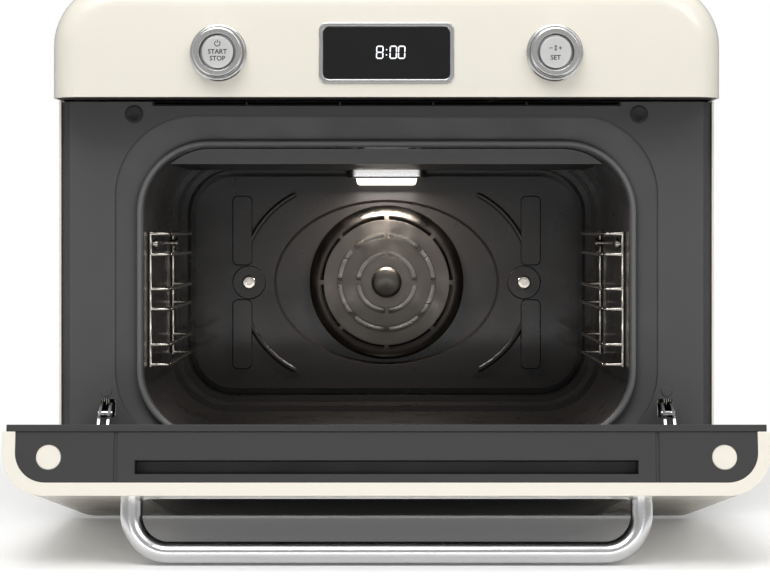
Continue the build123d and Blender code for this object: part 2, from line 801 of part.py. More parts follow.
# Shelf rails: bent wire, three pairs of runners between two uprights
rail_x = opening_half - rail_wire_radius - 0.3
rail_front = front_y + rail_front_depth
rail_rear = rail_front + rail_length
with BuildPart() as shelf_rail:
    for place in (rail_front, rail_rear):
        with BuildSketch(Plane.XY.offset(min(rail_levels) - rail_wire_radius)):
            with Locations((-rail_x, place)):
                Circle(rail_wire_radius)
        extrude(amount=max(rail_levels) - min(rail_levels) + 2 * rail_wire_radius)
    for level in rail_levels:
        with BuildLine() as runner:
            FilletPolyline((-rail_x, rail_front, level), (rail_throw - rail_x, rail_front, level),
                           (rail_throw - rail_x, rail_rear, level), (-rail_x, rail_rear, level),
                           radius=4 * rail_wire_radius / 1.5)
        with BuildSketch(Plane(origin=runner.line @ 0, z_dir=runner.line % 0)):
            Circle(rail_wire_radius)
        sweep(path=runner.line)
keep_both(shelf_rail, "shelf_rails")

# Studs that carry the rails on the liner's walls
stud_radius = 3.0
stud_head = 4.6
stud_z = (rail_levels[0] + rail_levels[1]) / 2
with BuildPart() as rail_studs:
    for across in (-1, 1):
        stud_plane = Plane(origin=(across * opening_half, 0, 0), x_dir=(0, 1, 0), z_dir=(-across, 0, 0))
        flip = -across
        for place in (rail_front + 8, rail_rear - 8):
            with BuildSketch(stud_plane):
                with Locations((place, flip * stud_z)):
                    Circle(stud_radius)
            extrude(amount=6)
            with BuildSketch(stud_plane.offset(5)):
                with Locations((place, flip * stud_z)):
                    Circle(stud_head)
            extrude(amount=2)
keep(rail_studs, "rail_studs")

# Shield under the roof: a tray with a lip at its front
with BuildPart() as grill_shield:
    with BuildSketch(Plane.XY.offset(shield_z)):
        with Locations((0, front_y + shield_front_depth)):
            Rectangle(2 * opening_half, shield_rear_depth - shield_front_depth,
                      align=(Align.CENTER, Align.MIN))
    extrude(amount=shield_sheet)
    with BuildSketch(section(shield_front_depth)):
        with Locations((0, shield_z)):
            Rectangle(2 * opening_half, opening_top - shield_z, align=(Align.CENTER, Align.MIN))
    extrude(amount=-shield_sheet)
    add(chamber(-shield_side_gap), mode=Mode.INTERSECT)
keep(grill_shield, "grill_shield")

# Grill element above the shield, and the bottom element under the chamber's floor
def heater_tube(points, bend):
    with BuildPart() as tube:
        with BuildLine() as route:
            FilletPolyline(*points, radius=bend)
        with BuildSketch(Plane(origin=route.line @ 0, z_dir=route.line % 0)):
            Circle(heater_tube_radius)
        sweep(path=route.line)
    return tube.part


grill_z = shield_z + shield_sheet + heater_tube_radius + 0.3
grill_front = front_y + shield_front_depth + 18
grill_reach = 110.0
with BuildPart() as grill_element:
    grill_back = front_y + grill_rear
    turn_back = grill_back - 22
    half_route = [(grill_end_x, grill_back, opening_top + 14), (grill_end_x, grill_back, grill_z),
                  (grill_end_x, grill_front + 30, grill_z), (2.8 * grill_end_x, grill_front + 30, grill_z),
                  (2.8 * grill_end_x, turn_back, grill_z), (grill_reach, turn_back, grill_z),
                  (grill_reach, grill_front, grill_z)]
    add(heater_tube(half_route + [(-x, y, z) for x, y, z in reversed(half_route)], 7))
keep(grill_element, "grill_element")

bottom_z = opening_bottom - liner_wall - heater_tube_radius - 0.3
bottom_reach = 120.0
bottom_inner = 30.0
bottom_middle = 75.0
bottom_turn_front = 90.0
bottom_turn_back = shoulder_depth - 40.0
with BuildPart() as bottom_element:
    half_route = [(bottom_inner, front_y + rear_wall_depth + 8, bottom_z),
                  (bottom_inner, front_y + bottom_turn_front, bottom_z),
                  (bottom_middle, front_y + bottom_turn_front, bottom_z),
                  (bottom_middle, front_y + bottom_turn_back, bottom_z),
                  (bottom_reach, front_y + bottom_turn_back, bottom_z),
                  (bottom_reach, front_y + bottom_turn_front - 40, bottom_z)]
    add(heater_tube(half_route + [(-x, y, z) for x, y, z in reversed(half_route)], 7))
keep(bottom_element, "bottom_element")

# Lamp: bezel, moulded glass, bulb and socket
lamp_y = front_y + lamp_depth
lamp_roof = opening_top - shoulder_inset
with BuildPart() as lamp_bezel:
    with BuildSketch(Plane.XY.offset(lamp_bottom)):
        with Locations((0, lamp_y)):
            RectangleRounded(2 * lamp_half_width, 2 * lamp_half_depth, lamp_corner_radius)
    extrude(amount=lamp_roof - lamp_bottom, taper=-2)
    fillet(lamp_bezel.faces().sort_by(Axis.Z)[0].edges(), 2)
    with BuildSketch(Plane.XY.offset(lamp_bottom)):
        with Locations((0, lamp_y)):
            RectangleRounded(2 * (lamp_half_width - lamp_border_x), 2 * (lamp_half_depth - lamp_border_y),
                             lamp_window_radius)
    extrude(amount=lamp_roof - lamp_bottom + 2, mode=Mode.SUBTRACT)
keep(lamp_bezel, "lamp_bezel")

with BuildPart() as lamp_glass:
    with BuildSketch(Plane.XY.offset(lamp_bottom + 6)):
        with Locations((0, lamp_y)):
            RectangleRounded(2 * (lamp_half_width - lamp_border_x - 0.3),
                             2 * (lamp_half_depth - lamp_border_y - 0.3), lamp_window_radius)
    extrude(amount=-(6 + lamp_dome_drop), taper=12)
    fillet(lamp_glass.faces().sort_by(Axis.Z)[0].edges(), 2.5)
keep(lamp_glass, "lamp_glass")

bulb_rise = 8.0
bulb_radius = 6.0
bulb_length = 14.0
socket_radius = 11.0
socket_height = 10.0
with BuildPart() as lamp_bulb:
    with BuildSketch(Plane.XY.offset(lamp_bottom + bulb_rise)):
        with Locations((0, lamp_y)):
            Circle(bulb_radius)
    extrude(amount=bulb_length)
    fillet(lamp_bulb.faces().sort_by(Axis.Z)[0].edges(), bulb_radius - 2)
keep(lamp_bulb, "lamp_bulb")

with BuildPart() as lamp_socket:
    with BuildSketch(Plane.XY.offset(lamp_bottom + bulb_rise + bulb_length)):
        with Locations((0, lamp_y)):
            Circle(socket_radius)
    extrude(amount=socket_height)
    with BuildSketch(Plane.XY.offset(lamp_roof + liner_wall)):
        with Locations((0, lamp_y)):
            RectangleRounded(2 * lamp_half_width, 2 * lamp_half_depth, lamp_window_radius)
            Circle(socket_radius - 2, mode=Mode.SUBTRACT)
    extrude(amount=lamp_bottom + bulb_rise + bulb_length - lamp_roof - liner_wall + 1.5)
keep(lamp_socket, "lamp_socket")


# Door skin: bent outer panel with rounded sides and a rim round its free end
skin_inner_n = door_gap + lip_thickness


def skin_profile(inset, closed_side):
    """Outline across the door, for the open sketch; closed_side is where it meets the liner."""
    with Locations((0, -closed_side)):
        Rectangle(2 * (half - inset), door_back - inset - closed_side, align=(Align.CENTER, Align.MAX))


def skin_block(inset, start, end, closed_side):
    with BuildPart() as block:
        with BuildSketch(door_section(start)) as outline:
            skin_profile(inset, closed_side)
            fillet(outline.vertices().group_by(Axis.Y)[0], skin_corner_radius - inset)
        extrude(amount=end - start)
    return block.part


with BuildPart() as door_skin:
    add(skin_block(0, -door_apron, door_height, skin_inner_n))
    add(skin_block(skin_wall, -door_apron - 1, door_height - rim_length, skin_inner_n - 1),
        mode=Mode.SUBTRACT)
    add(skin_block(skin_rim, -door_apron - 1, door_height + 1, skin_inner_n - 1), mode=Mode.SUBTRACT)
    with BuildSketch(door_section(-door_apron - 1)):
        with Locations((0, -skin_inner_n)):
            Rectangle(2 * half + 2, door_thickness * 0.72, align=(Align.CENTER, Align.MAX))
    extrude(amount=door_start + door_apron + 1, mode=Mode.SUBTRACT)
    with BuildSketch(door_layer(door_back - skin_wall - 1)):
        with Locations((0, (window_low + window_high) / 2)):
            RectangleRounded(2 * (window_half - 2 * window_border),
                             window_high - window_low - 4 * window_border, 10)
    extrude(amount=skin_wall + 3, mode=Mode.SUBTRACT)
    with BuildSketch(door_layer(door_back - skin_wall - 1)):
        with Locations((-handle_half, handle_height), (handle_half, handle_height)):
            Circle(2.6)
    extrude(amount=skin_wall + 3, mode=Mode.SUBTRACT)
keep(door_skin, "door_skin")

# Door's inner panel, with the inner glass and notches for the hinges
with BuildPart() as door_inner_panel:
    with BuildSketch(door_layer(door_gap)):
        with Locations((0, door_start)):
            Rectangle(2 * lip_half, door_height - door_start, align=(Align.CENTER, Align.MIN))
        with Locations((0, (inner_glass_low + inner_glass_high) / 2)):
            RectangleRounded(2 * inner_glass_half - 12, inner_glass_high - inner_glass_low - 12, 10,
                             mode=Mode.SUBTRACT)
        with Locations((-hinge_x, door_start), (hinge_x, door_start)):
            Rectangle(20, 30, mode=Mode.SUBTRACT)
        with Locations((-stay_x, stay_radius), (stay_x, stay_radius)):
            Rectangle(stay_span + 1, stay_depth + 1, mode=Mode.SUBTRACT)
    extrude(amount=lip_thickness)
    fillet(door_inner_panel.faces().sort_by(lambda face: face.center().Z + face.center().Y)[-1]
           .outer_wire().edges().filter_by(Axis.X).sort_by(Axis.Y)[0], 1.5)
    with BuildSketch(door_layer(door_gap)):
        with Locations((0, (inner_glass_low + inner_glass_high) / 2)):
            RectangleRounded(2 * inner_glass_half, inner_glass_high - inner_glass_low, 14)
    extrude(amount=glass_thickness - 1, mode=Mode.SUBTRACT)
keep(door_inner_panel, "door_inner_panel")

with BuildPart() as door_inner_glass:
    with BuildSketch(door_layer(door_gap)):
        with Locations((0, (inner_glass_low + inner_glass_high) / 2)):
            RectangleRounded(2 * inner_glass_half - 1, inner_glass_high - inner_glass_low - 1, 13.5)
    extrude(amount=glass_thickness - 1)
keep(door_inner_glass, "door_inner_glass")

# End cap in the free end, with the air slot, two grooves and holes for the plugs
cap_top = door_height - cap_inset
cap_gap = 0.2
pocket_depth = 14.0
with BuildPart() as door_end_cap:
    with BuildSketch(door_section(cap_top - cap_thickness)) as cap_outline:
        skin_profile(skin_rim + cap_gap, skin_inner_n + cap_gap)
        fillet(cap_outline.vertices().group_by(Axis.Y)[0], skin_corner_radius - skin_rim)
        with Locations((0, -(cap_slot_low + cap_slot_high) / 2 - door_gap)):
            Rectangle(2 * cap_slot_half, cap_slot_high - cap_slot_low, mode=Mode.SUBTRACT)
        with Locations((-plug_x, -plug_n), (plug_x, -plug_n)):
            Circle(plug_radius + cap_gap / 2, mode=Mode.SUBTRACT)
    extrude(amount=cap_thickness)
    with BuildSketch(door_section(cap_top - groove_depth)):
        for across in (-1, 1):
            with Locations((across * groove_x, -door_thickness / 2)):
                Rectangle(groove_width, door_thickness)
    extrude(amount=groove_depth + 1, mode=Mode.SUBTRACT)
    # pocket behind the slot
    with BuildSketch(door_section(cap_top - cap_thickness - pocket_depth)):
        with Locations((0, -(cap_slot_low + cap_slot_high) / 2 - door_gap)):
            Rectangle(2 * cap_slot_half + 4, cap_slot_high - cap_slot_low + 4)
            Rectangle(2 * cap_slot_half, cap_slot_high - cap_slot_low, mode=Mode.SUBTRACT)
    extrude(amount=pocket_depth)
    with BuildSketch(door_section(cap_top - cap_thickness - pocket_depth)):
        with Locations((0, -(cap_slot_low + cap_slot_high) / 2 - door_gap)):
            Rectangle(2 * cap_slot_half + 4, cap_slot_high - cap_slot_low + 4)
    extrude(amount=1.5)
keep(door_end_cap, "door_end_cap")

with BuildPart() as door_plugs:
    with BuildSketch(door_section(cap_top - cap_thickness)):
        with Locations((-plug_x, -plug_n), (plug_x, -plug_n)):
            Circle(plug_radius)
    extrude(amount=cap_thickness - 0.6)
    fillet(door_plugs.faces().group_by(lambda face: round(face.center().Y, 1))[0].edges(), 0.8)
keep(door_plugs, "door_plugs")

# Outer window: bright frame with the glass in it, on the skin's outer face
with BuildPart() as door_window_frame:
    with BuildSketch(door_layer(door_back)):
        with Locations((0, (window_low + window_high) / 2)):
            RectangleRounded(2 * window_half, window_high - window_low, 16)
            RectangleRounded(2 * (window_half - window_border), window_high - window_low - 2 * window_border,
                             12, mode=Mode.SUBTRACT)
    extrude(amount=window_proud)
keep(door_window_frame, "door_window_frame")

with BuildPart() as door_outer_glass:
    with BuildSketch(door_layer(door_back)):
        with Locations((0, (window_low + window_high) / 2)):
            RectangleRounded(2 * (window_half - window_border) - 0.4,
                             window_high - window_low - 2 * window_border - 0.4, 12)
    extrude(amount=window_proud - 0.3)
keep(door_outer_glass, "door_outer_glass")

# Handle: bent tube with two mount feet and the screws inside the door
bar_n = door_back + handle_reach
with BuildPart() as door_handle:
    with BuildLine(door_section(handle_height)) as handle_route:
        FilletPolyline((-handle_half, -door_back), (-handle_half, -bar_n), (handle_half, -bar_n),
                       (handle_half, -door_back), radius=handle_bend)
    with BuildSketch(Plane(origin=handle_route.line @ 0, z_dir=handle_route.line % 0)):
        Circle(handle_radius)
    sweep(path=handle_route.line)
    with BuildSketch(door_layer(door_back - 1)):
        with Locations((-handle_half, handle_height), (handle_half, handle_height)):
            Circle(2.1)
    extrude(amount=16, mode=Mode.SUBTRACT)
keep(door_handle, "door_handle")

with BuildPart() as handle_screws:
    with BuildSketch(door_layer(door_back - skin_wall - 3)):
        with Locations((-handle_half, handle_height), (handle_half, handle_height)):
            Circle(4.5)
    extrude(amount=3)
    with BuildSketch(door_layer(door_back - skin_wall)):
        with Locations((-handle_half, handle_height), (handle_half, handle_height)):
            Circle(2)
    extrude(amount=skin_wall + 12)
keep(handle_screws, "handle_screws")

# Hinge arms in the door, with the knuckle on the pin
arm_depth = 26.0
arm_length = 70.0
arm_root = 20.0
with BuildPart() as hinge_arm:
    knuckle_x = -hinge_x + knuckle_width / 2 + fit_gap
    with BuildSketch(door_side(knuckle_x)):
        Circle(knuckle_radius)
        with BuildLine():
            Polyline((-knuckle_radius * 0.4, knuckle_radius * 0.9), (knuckle_radius, -knuckle_radius * 0.3),
                     (arm_depth, 2 * knuckle_radius), (arm_depth, arm_length), (skin_inner_n + 0.3, arm_length),
                     (skin_inner_n + 0.3, arm_root), close=True)
        make_face()
        Circle(pin_radius + bore_gap, mode=Mode.SUBTRACT)
    extrude(amount=knuckle_width / 2, both=True)
keep_both(hinge_arm, "hinge_arms")

# Stay straps: two plates on arcs about the pivot, with a rivet between them
door_angle = 90 + open_angle
with BuildPart() as stay:
    for offset_x in (-1, 1):
        with BuildSketch(side(-stay_x + offset_x * (stay_span - stay_plate) / 2)):
            arc_band((0, 0), stay_radius, stay_depth, stay_tail_angle,
                     door_angle + stay_root_angle - stay_tail_angle)
        extrude(amount=stay_plate / 2, both=True)
    with BuildSketch(side(-stay_x)):
        with Locations((stay_radius * cos(radians(stay_rivet_angle)), stay_radius * sin(radians(stay_rivet_angle)))):
            Circle(stay_rivet_radius)
    extrude(amount=stay_span / 2 + 0.8, both=True)
    with BuildSketch(door_side(-stay_x)):
        with Locations((door_gap + 2, stay_radius - stay_depth / 2 + 0.5)):
            Rectangle(20, stay_depth - 1, align=(Align.MIN, Align.MIN))
    extrude(amount=(stay_span - 1) / 2, both=True)
keep_both(stay, "door_stays")

# Hinge brackets on the floor plate, with their pins
ear_x = -hinge_x - ear_width / 2 - fit_gap
with BuildPart() as hinge_bracket:
    with BuildSketch(side(ear_x)):
        Circle(knuckle_radius)
        with BuildLine():
            Polyline((0, knuckle_radius), (0, -knuckle_radius), (50, floor_plate_z + panel_wall - pivot_z),
                     (50, 2 - knuckle_radius), (20, knuckle_radius), close=True)
        make_face()
        Circle(pin_radius, mode=Mode.SUBTRACT)
    extrude(amount=ear_width / 2, both=True)
    with BuildSketch(Plane.XY.offset(floor_plate_z + panel_wall)):
        with Locations((ear_x, front_y + 36)):
            Rectangle(16, 32)
            with Locations((4.6, 0)):
                Circle(1.7, mode=Mode.SUBTRACT)
    extrude(amount=2)
keep_both(hinge_bracket, "hinge_brackets")

with BuildPart() as hinge_pin:
    with BuildSketch(side(ear_x - ear_width / 2 - 0.1)):
        Circle(pin_radius)
    extrude(amount=ear_width + knuckle_width + 2)
    with BuildSketch(side(ear_x - ear_width / 2 - 1.6)):
        Circle(pin_radius + 1.6)
    extrude(amount=1.5)
keep_both(hinge_pin, "hinge_pins")

with BuildPart() as hinge_screws:
    with BuildSketch(section(-0.05)):
        with Locations((-hinge_screw_x, hinge_screw_z), (hinge_screw_x, hinge_screw_z)):
            Circle(4.2)
    extrude(amount=0.7)
    fillet(hinge_screws.faces().group_by(Axis.Y)[0].edges(), 0.6)
    with BuildSketch(section(-0.1)):
        with Locations((-hinge_screw_x, hinge_screw_z), (hinge_screw_x, hinge_screw_z)):
            Circle(2.2)
    extrude(amount=-11)

with BuildPart() as chamber_screws:
    add(back_screws.part)
    add(hinge_screws.part)
keep(chamber_screws, "chamber_screws")


# Controls on the fascia: knob bezels, dial rings, centre buttons
face_depth = -hood_reach
inner_face_depth = face_depth + hood_wall
board_depth = face_depth + 24.0
dial_back = 1.5
encoder_half = 12.0
encoder_front = board_depth - 9.0


def at_dials():
    """Both dial centres, for the open sketch."""
    return Locations((-dial_x, control_z), (dial_x, control_z))


with BuildPart() as knob_bezel:
    with BuildSketch(section(face_depth)):
        with Locations((-dial_x, control_z)):
            Circle(knob_bezel_radius)
            Circle(dial_radius + 0.4, mode=Mode.SUBTRACT)
    extrude(amount=bezel_proud)
    chamfer(knob_bezel.faces().sort_by(Axis.Y)[0].outer_wire().edges(), 1.2)
keep_both(knob_bezel, "knob_bezels")

with BuildPart() as dial_ring:
    with BuildSketch(section(face_depth - soft_gap)):
        with Locations((-dial_x, control_z)):
            Circle(dial_radius)
    extrude(amount=dial_proud - soft_gap)
    chamfer(dial_ring.faces().sort_by(Axis.Y)[0].edges(), 1.0)
    with BuildSketch(section(face_depth - dial_proud)):
        with Locations((-dial_x, control_z)):
            Circle(dial_bore_radius)
    extrude(amount=-(dial_proud - soft_gap - dial_back), mode=Mode.SUBTRACT)
    with BuildSketch(section(face_depth - soft_gap)):
        with Locations((-dial_x, control_z)):
            Circle(sleeve_radius)
    extrude(amount=-(encoder_front - face_depth + soft_gap - 0.2))
    with BuildSketch(section(face_depth - dial_proud)):
        with Locations((-dial_x, control_z)):
            Circle(stem_radius + bore_gap)
    extrude(amount=-(dial_proud + encoder_front - face_depth + 2), mode=Mode.SUBTRACT)
keep_pair(dial_ring, "dial_ring")

with BuildPart() as dial_button:
    with BuildSketch(section(face_depth - button_proud + 3)):
        with Locations((-dial_x, control_z)):
            Circle(button_radius)
    extrude(amount=3)
    fillet(dial_button.faces().sort_by(Axis.Y)[0].edges(), 0.8)
    with BuildSketch(section(face_depth - button_proud + 3)):
        with Locations((-dial_x, control_z)):
            Circle(stem_radius)
    extrude(amount=-(button_proud - 3 + encoder_front - face_depth - button_travel - 1))
keep_pair(dial_button, "dial_button")

with BuildPart() as encoders:
    with BuildSketch(section(encoder_front)):
        with at_dials():
            RectangleRounded(2 * encoder_half, 2 * encoder_half, 2)
    extrude(amount=-(board_depth - encoder_front))
    with BuildSketch(section(inner_face_depth)):
        with at_dials():
            Circle(sleeve_radius + 3)
            Circle(sleeve_radius + bore_gap, mode=Mode.SUBTRACT)
    extrude(amount=-(encoder_front - inner_face_depth))
keep(encoders, "encoders")

board_half = 150.0
board_half_height = 24.0
board_sheet = 1.6
with BuildPart() as control_board:
    with BuildSketch(section(board_depth)):
        with Locations((0, control_z)):
            RectangleRounded(2 * board_half, 2 * board_half_height, 3)
            with GridLocations(2 * board_half - 12, 2 * board_half_height - 12, 2, 2):
                Circle(1.8, mode=Mode.SUBTRACT)
    extrude(amount=-board_sheet)
    with BuildSketch(section(board_depth + board_sheet)):
        with Locations((-70, control_z), (-52, control_z + 6), (70, control_z)):
            Rectangle(14, 20)
    extrude(amount=-9)
keep(control_board, "control_board")

# Display: bezel, dark window and the module behind it
with BuildPart() as display_bezel:
    with BuildSketch(section(face_depth)):
        with Locations((0, control_z)):
            RectangleRounded(2 * display_half, 2 * display_half_height, display_radius)
            RectangleRounded(2 * (display_half - display_border), 2 * (display_half_height - display_border),
                             display_radius - display_border / 2, mode=Mode.SUBTRACT)
    extrude(amount=display_proud)
    chamfer(display_bezel.faces().sort_by(Axis.Y)[0].edges(), 0.5)
keep(display_bezel, "display_bezel")

with BuildPart() as display_window:
    with BuildSketch(section(inner_face_depth - 0.3)):
        with Locations((0, control_z)):
            RectangleRounded(2 * (display_half - display_border - 0.2),
                             2 * (display_half_height - display_border - 0.2),
                             display_radius - display_border / 2)
    extrude(amount=hood_wall - 0.3 + display_proud - 0.5)
keep(display_window, "display_window")

with BuildPart() as display_module:
    with BuildSketch(section(inner_face_depth + 0.2)):
        with Locations((0, control_z)):
            RectangleRounded(96, 42, 2)
    extrude(amount=-(board_depth - inner_face_depth - 0.2))
keep(display_module, "display_module")

# Cooling blower on the chamber's roof: housing, wheel, motor and the duct to the grille
blower_x = opening_half - 73.5
blower_depth = rear_wall_depth - 65.0
blower_base = opening_top + liner_wall + 3.0
blower_height = 30.0
blower_radius = 55.0
blower_wall = 1.5
wheel_radius = 44.0
wheel_height = 20.0
wheel_blades = 24
wheel_bottom = blower_base + 4.0
blower_shaft_radius = 2.5
shaft_above_wheel = 15.0
blower_centre = (blower_x, front_y + blower_depth)
duct_width = 76.0
duct_start = blower_depth - blower_radius + 4 - 0.3
with BuildPart() as blower_housing:
    with BuildSketch(Plane.XY.offset(blower_base)):
        with Locations(blower_centre):
            Circle(blower_radius)
            with Locations((0, -blower_radius / 2)):
                Rectangle(duct_width, blower_radius - 8)
    extrude(amount=blower_height)
    with BuildSketch(Plane.XY.offset(blower_base + blower_wall)):
        with Locations(blower_centre):
            Circle(blower_radius - blower_wall)
            with Locations((0, -blower_radius / 2 - 6)):
                Rectangle(duct_width - 2 * blower_wall, blower_radius)
    extrude(amount=blower_height - 2 * blower_wall, mode=Mode.SUBTRACT)
    with BuildSketch(Plane.XY.offset(blower_base + blower_height - blower_wall)):
        with Locations(blower_centre):
            Circle(wheel_radius - 12)
    extrude(amount=blower_wall, mode=Mode.SUBTRACT)
    with BuildSketch(Plane.XY.offset(opening_top + liner_wall)):
        with Locations(blower_centre):
            with PolarLocations(blower_radius - 8, 4, 45):
                Circle(4)
    extrude(amount=blower_base - opening_top - liner_wall)
keep(blower_housing, "blower_housing")

with BuildPart() as blower_wheel:
    with BuildSketch(Plane.XY.offset(wheel_bottom)):
        with Locations(blower_centre):
            Circle(wheel_radius)
    extrude(amount=1.2)
    with BuildSketch(Plane.XY.offset(wheel_bottom)):
        with Locations(blower_centre):
            with PolarLocations(wheel_radius - 5, wheel_blades):
                Rectangle(9, 1, rotation=35)
            Circle(6)
    extrude(amount=wheel_height)
    with BuildSketch(Plane.XY.offset(wheel_bottom + wheel_height - 1.2)):
        with Locations(blower_centre):
            Circle(wheel_radius)
            Circle(wheel_radius - 10, mode=Mode.SUBTRACT)
    extrude(amount=1.2)
    with BuildSketch(Plane.XY.offset(wheel_bottom)):
        with Locations(blower_centre):
            Circle(blower_shaft_radius)
    extrude(amount=wheel_height + shaft_above_wheel)
keep(blower_wheel, "blower_wheel")

blower_top = blower_base + blower_height
with BuildPart() as blower_motor:
    with BuildSketch(Plane.XY.offset(blower_top + 3)):
        with Locations(blower_centre):
            Circle(22)
    extrude(amount=24)
    fillet(blower_motor.faces().sort_by(Axis.Z)[-1].edges(), 3)
    with BuildSketch(Plane.XY.offset(blower_top)):
        with Locations(blower_centre):
            Rectangle(2 * wheel_radius, 12)
            Circle(12, mode=Mode.SUBTRACT)
    extrude(amount=3)
    with BuildSketch(Plane.XY.offset(blower_top)):
        with Locations(blower_centre):
            Circle(blower_shaft_radius + bore_gap)
    extrude(amount=shaft_above_wheel, mode=Mode.SUBTRACT)
keep(blower_motor, "blower_motor")

# Duct that fans out from the blower to the grille
duct_end = fit_gap + grille_depth + 0.3
duct_low = blower_base + 2.0


def duct_block(grow, start, end):
    with BuildPart() as block:
        with BuildSketch(section(start)):
            with Locations((0, frame_top - vent_slot_height / 2 + fit_gap / 2 - 0.25)):
                Rectangle(2 * vent_slot_half + 2 * grow, vent_slot_height + 2 * grow)
        with BuildSketch(section(end)):
            with Locations((blower_x, duct_low + blower_height / 2 - 2)):
                Rectangle(duct_width + 2 * grow, blower_height - 8 + 2 * grow)
        loft()
    return block.part


with BuildPart() as air_duct:
    add(duct_block(1.0, duct_end, duct_start))
    add(duct_block(0, duct_end - 0.5, duct_start + 0.5), mode=Mode.SUBTRACT)
keep(air_duct, "air_duct")

# Safety cut-out on the chamber's roof, and the casing's screws on the rear panel
cutout_place = (-90.0, front_y + 165.0)
cutout_radius = 8.0
cutout_height = 6.0
cutout_flange = 30.0
with BuildPart() as thermal_cutout:
    with BuildSketch(Plane.XY.offset(opening_top + liner_wall)):
        with Locations(cutout_place):
            Circle(cutout_radius)
    extrude(amount=cutout_height)
    with BuildSketch(Plane.XY.offset(opening_top + liner_wall)):
        with Locations(cutout_place):
            SlotOverall(cutout_flange, cutout_radius)
    extrude(amount=1)
keep(thermal_cutout, "thermal_cutout")

casing_screw_margin = 14.0
casing_screw_pitch = 110.0
casing_screw_radius = 3.6
casing_screw_head = 1.8
with BuildPart() as casing_screws:
    with BuildSketch(section(body_depth + casing_screw_head)):
        with Locations((0, (floor_plate_z + hood_bottom) / 2)):
            with GridLocations(2 * (half - casing_screw_margin), casing_screw_pitch, 2, 3):
                Circle(casing_screw_radius)
    extrude(amount=casing_screw_head)
    fillet(casing_screws.faces().group_by(Axis.Y)[-1].edges(), 1.0)
keep(casing_screws, "casing_screws")
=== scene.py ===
import json
import math

import bmesh
import bpy
from mathutils import Matrix, Vector


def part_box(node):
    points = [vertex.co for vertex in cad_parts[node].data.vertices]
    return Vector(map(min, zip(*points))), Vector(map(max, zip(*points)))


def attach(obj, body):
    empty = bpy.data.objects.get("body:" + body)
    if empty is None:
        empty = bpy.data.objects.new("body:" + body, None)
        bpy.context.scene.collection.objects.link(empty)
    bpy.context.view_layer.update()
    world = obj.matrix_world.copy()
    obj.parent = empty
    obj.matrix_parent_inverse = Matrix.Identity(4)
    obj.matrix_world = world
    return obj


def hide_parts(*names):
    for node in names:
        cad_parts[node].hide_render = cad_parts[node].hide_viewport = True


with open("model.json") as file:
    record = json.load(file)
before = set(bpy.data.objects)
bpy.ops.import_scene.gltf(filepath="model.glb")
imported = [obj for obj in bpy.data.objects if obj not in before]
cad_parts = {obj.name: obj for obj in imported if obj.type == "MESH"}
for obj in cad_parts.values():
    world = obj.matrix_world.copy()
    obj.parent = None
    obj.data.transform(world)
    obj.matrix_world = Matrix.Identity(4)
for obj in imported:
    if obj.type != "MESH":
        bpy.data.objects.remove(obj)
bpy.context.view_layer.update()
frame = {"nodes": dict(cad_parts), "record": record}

bl_info = {
    "name": "Countertop oven finish",
    "version": (1, 0, 0),
    "blender": (4, 5, 0),
    "location": "3D View > Sidebar > Oven",
    "description": "Finishes the packed countertop oven: enamel, chrome, glass, rubber and lettering",
    "category": "Object",
}

nodes = frame["nodes"]


def srgb(red, green, blue):
    """Linear colour of an 8-bit display colour."""
    channels = []
    for value in (red, green, blue):
        part = value / 255
        channels.append(part / 12.92 if part <= 0.04045 else ((part + 0.055) / 1.055) ** 2.4)
    return (*channels, 1.0)


# Settings that a user would change


class OvenFinishSettings(bpy.types.PropertyGroup):
    cream: bpy.props.FloatVectorProperty(
        name="Cream enamel", description="Colour of the hood, the sides and the door",
        subtype="COLOR", size=4, min=0, max=1, default=srgb(244, 239, 226))
    face: bpy.props.FloatVectorProperty(
        name="Frame enamel", description="Colour of the dark front frame",
        subtype="COLOR", size=4, min=0, max=1, default=srgb(78, 78, 78))
    door_dark: bpy.props.FloatVectorProperty(
        name="Door lining", description="Colour of the door's dark inner panel and end cap",
        subtype="COLOR", size=4, min=0, max=1, default=srgb(52, 52, 52))
    chamber: bpy.props.FloatVectorProperty(
        name="Chamber enamel", description="Colour of the oven chamber",
        subtype="COLOR", size=4, min=0, max=1, default=srgb(50, 46, 44))
    digit_height: bpy.props.FloatProperty(
        name="Digit height", description="Height of the clock digits",
        unit="LENGTH", min=0.002, max=0.03, default=0.0089)
    edge_width: bpy.props.FloatProperty(
        name="Edge softening", description="Width of the rounding on pressed sheet edges",
        unit="LENGTH", min=0.0, max=0.002, default=0.0005)


class OvenStageSettings(bpy.types.PropertyGroup):
    eye_height: bpy.props.FloatProperty(
        name="Eye height", description="Camera height above the worktop",
        unit="LENGTH", min=0.0, max=3.0, default=0.2195)
    eye_distance: bpy.props.FloatProperty(
        name="Eye distance", description="Camera distance in front of the origin",
        unit="LENGTH", min=0.3, max=6.0, default=1.8254)
    lens: bpy.props.FloatProperty(
        name="Lens", description="Focal length in millimetres on a 36 mm sensor",
        min=10, max=300, default=109.5)
    worktop_gain: bpy.props.FloatProperty(
        name="Worktop gain", description="How bright the worktop looks beside the oven",
        min=0.1, max=6.0, default=1.0)
    shadow_lift: bpy.props.FloatProperty(
        name="Shadow lift", description="Light added to the worktop's shadow",
        min=0.0, max=1.0, default=0.12)
    lamp_power: bpy.props.FloatProperty(
        name="Key light", description="Power of the large soft light above the oven",
        unit="POWER", min=0, max=500, default=25.0)


def settings():
    return bpy.context.scene.oven_finish


def stage_settings():
    return bpy.context.scene.oven_stage


# Materials


def new_material(name):
    """Material with an empty tree but for its shader and output; returns tree, shader."""
    material = bpy.data.materials.new(name)
    material.use_nodes = True
    tree = material.node_tree
    shader = next(node for node in tree.nodes if node.type == "BSDF_PRINCIPLED")
    return material, tree, shader


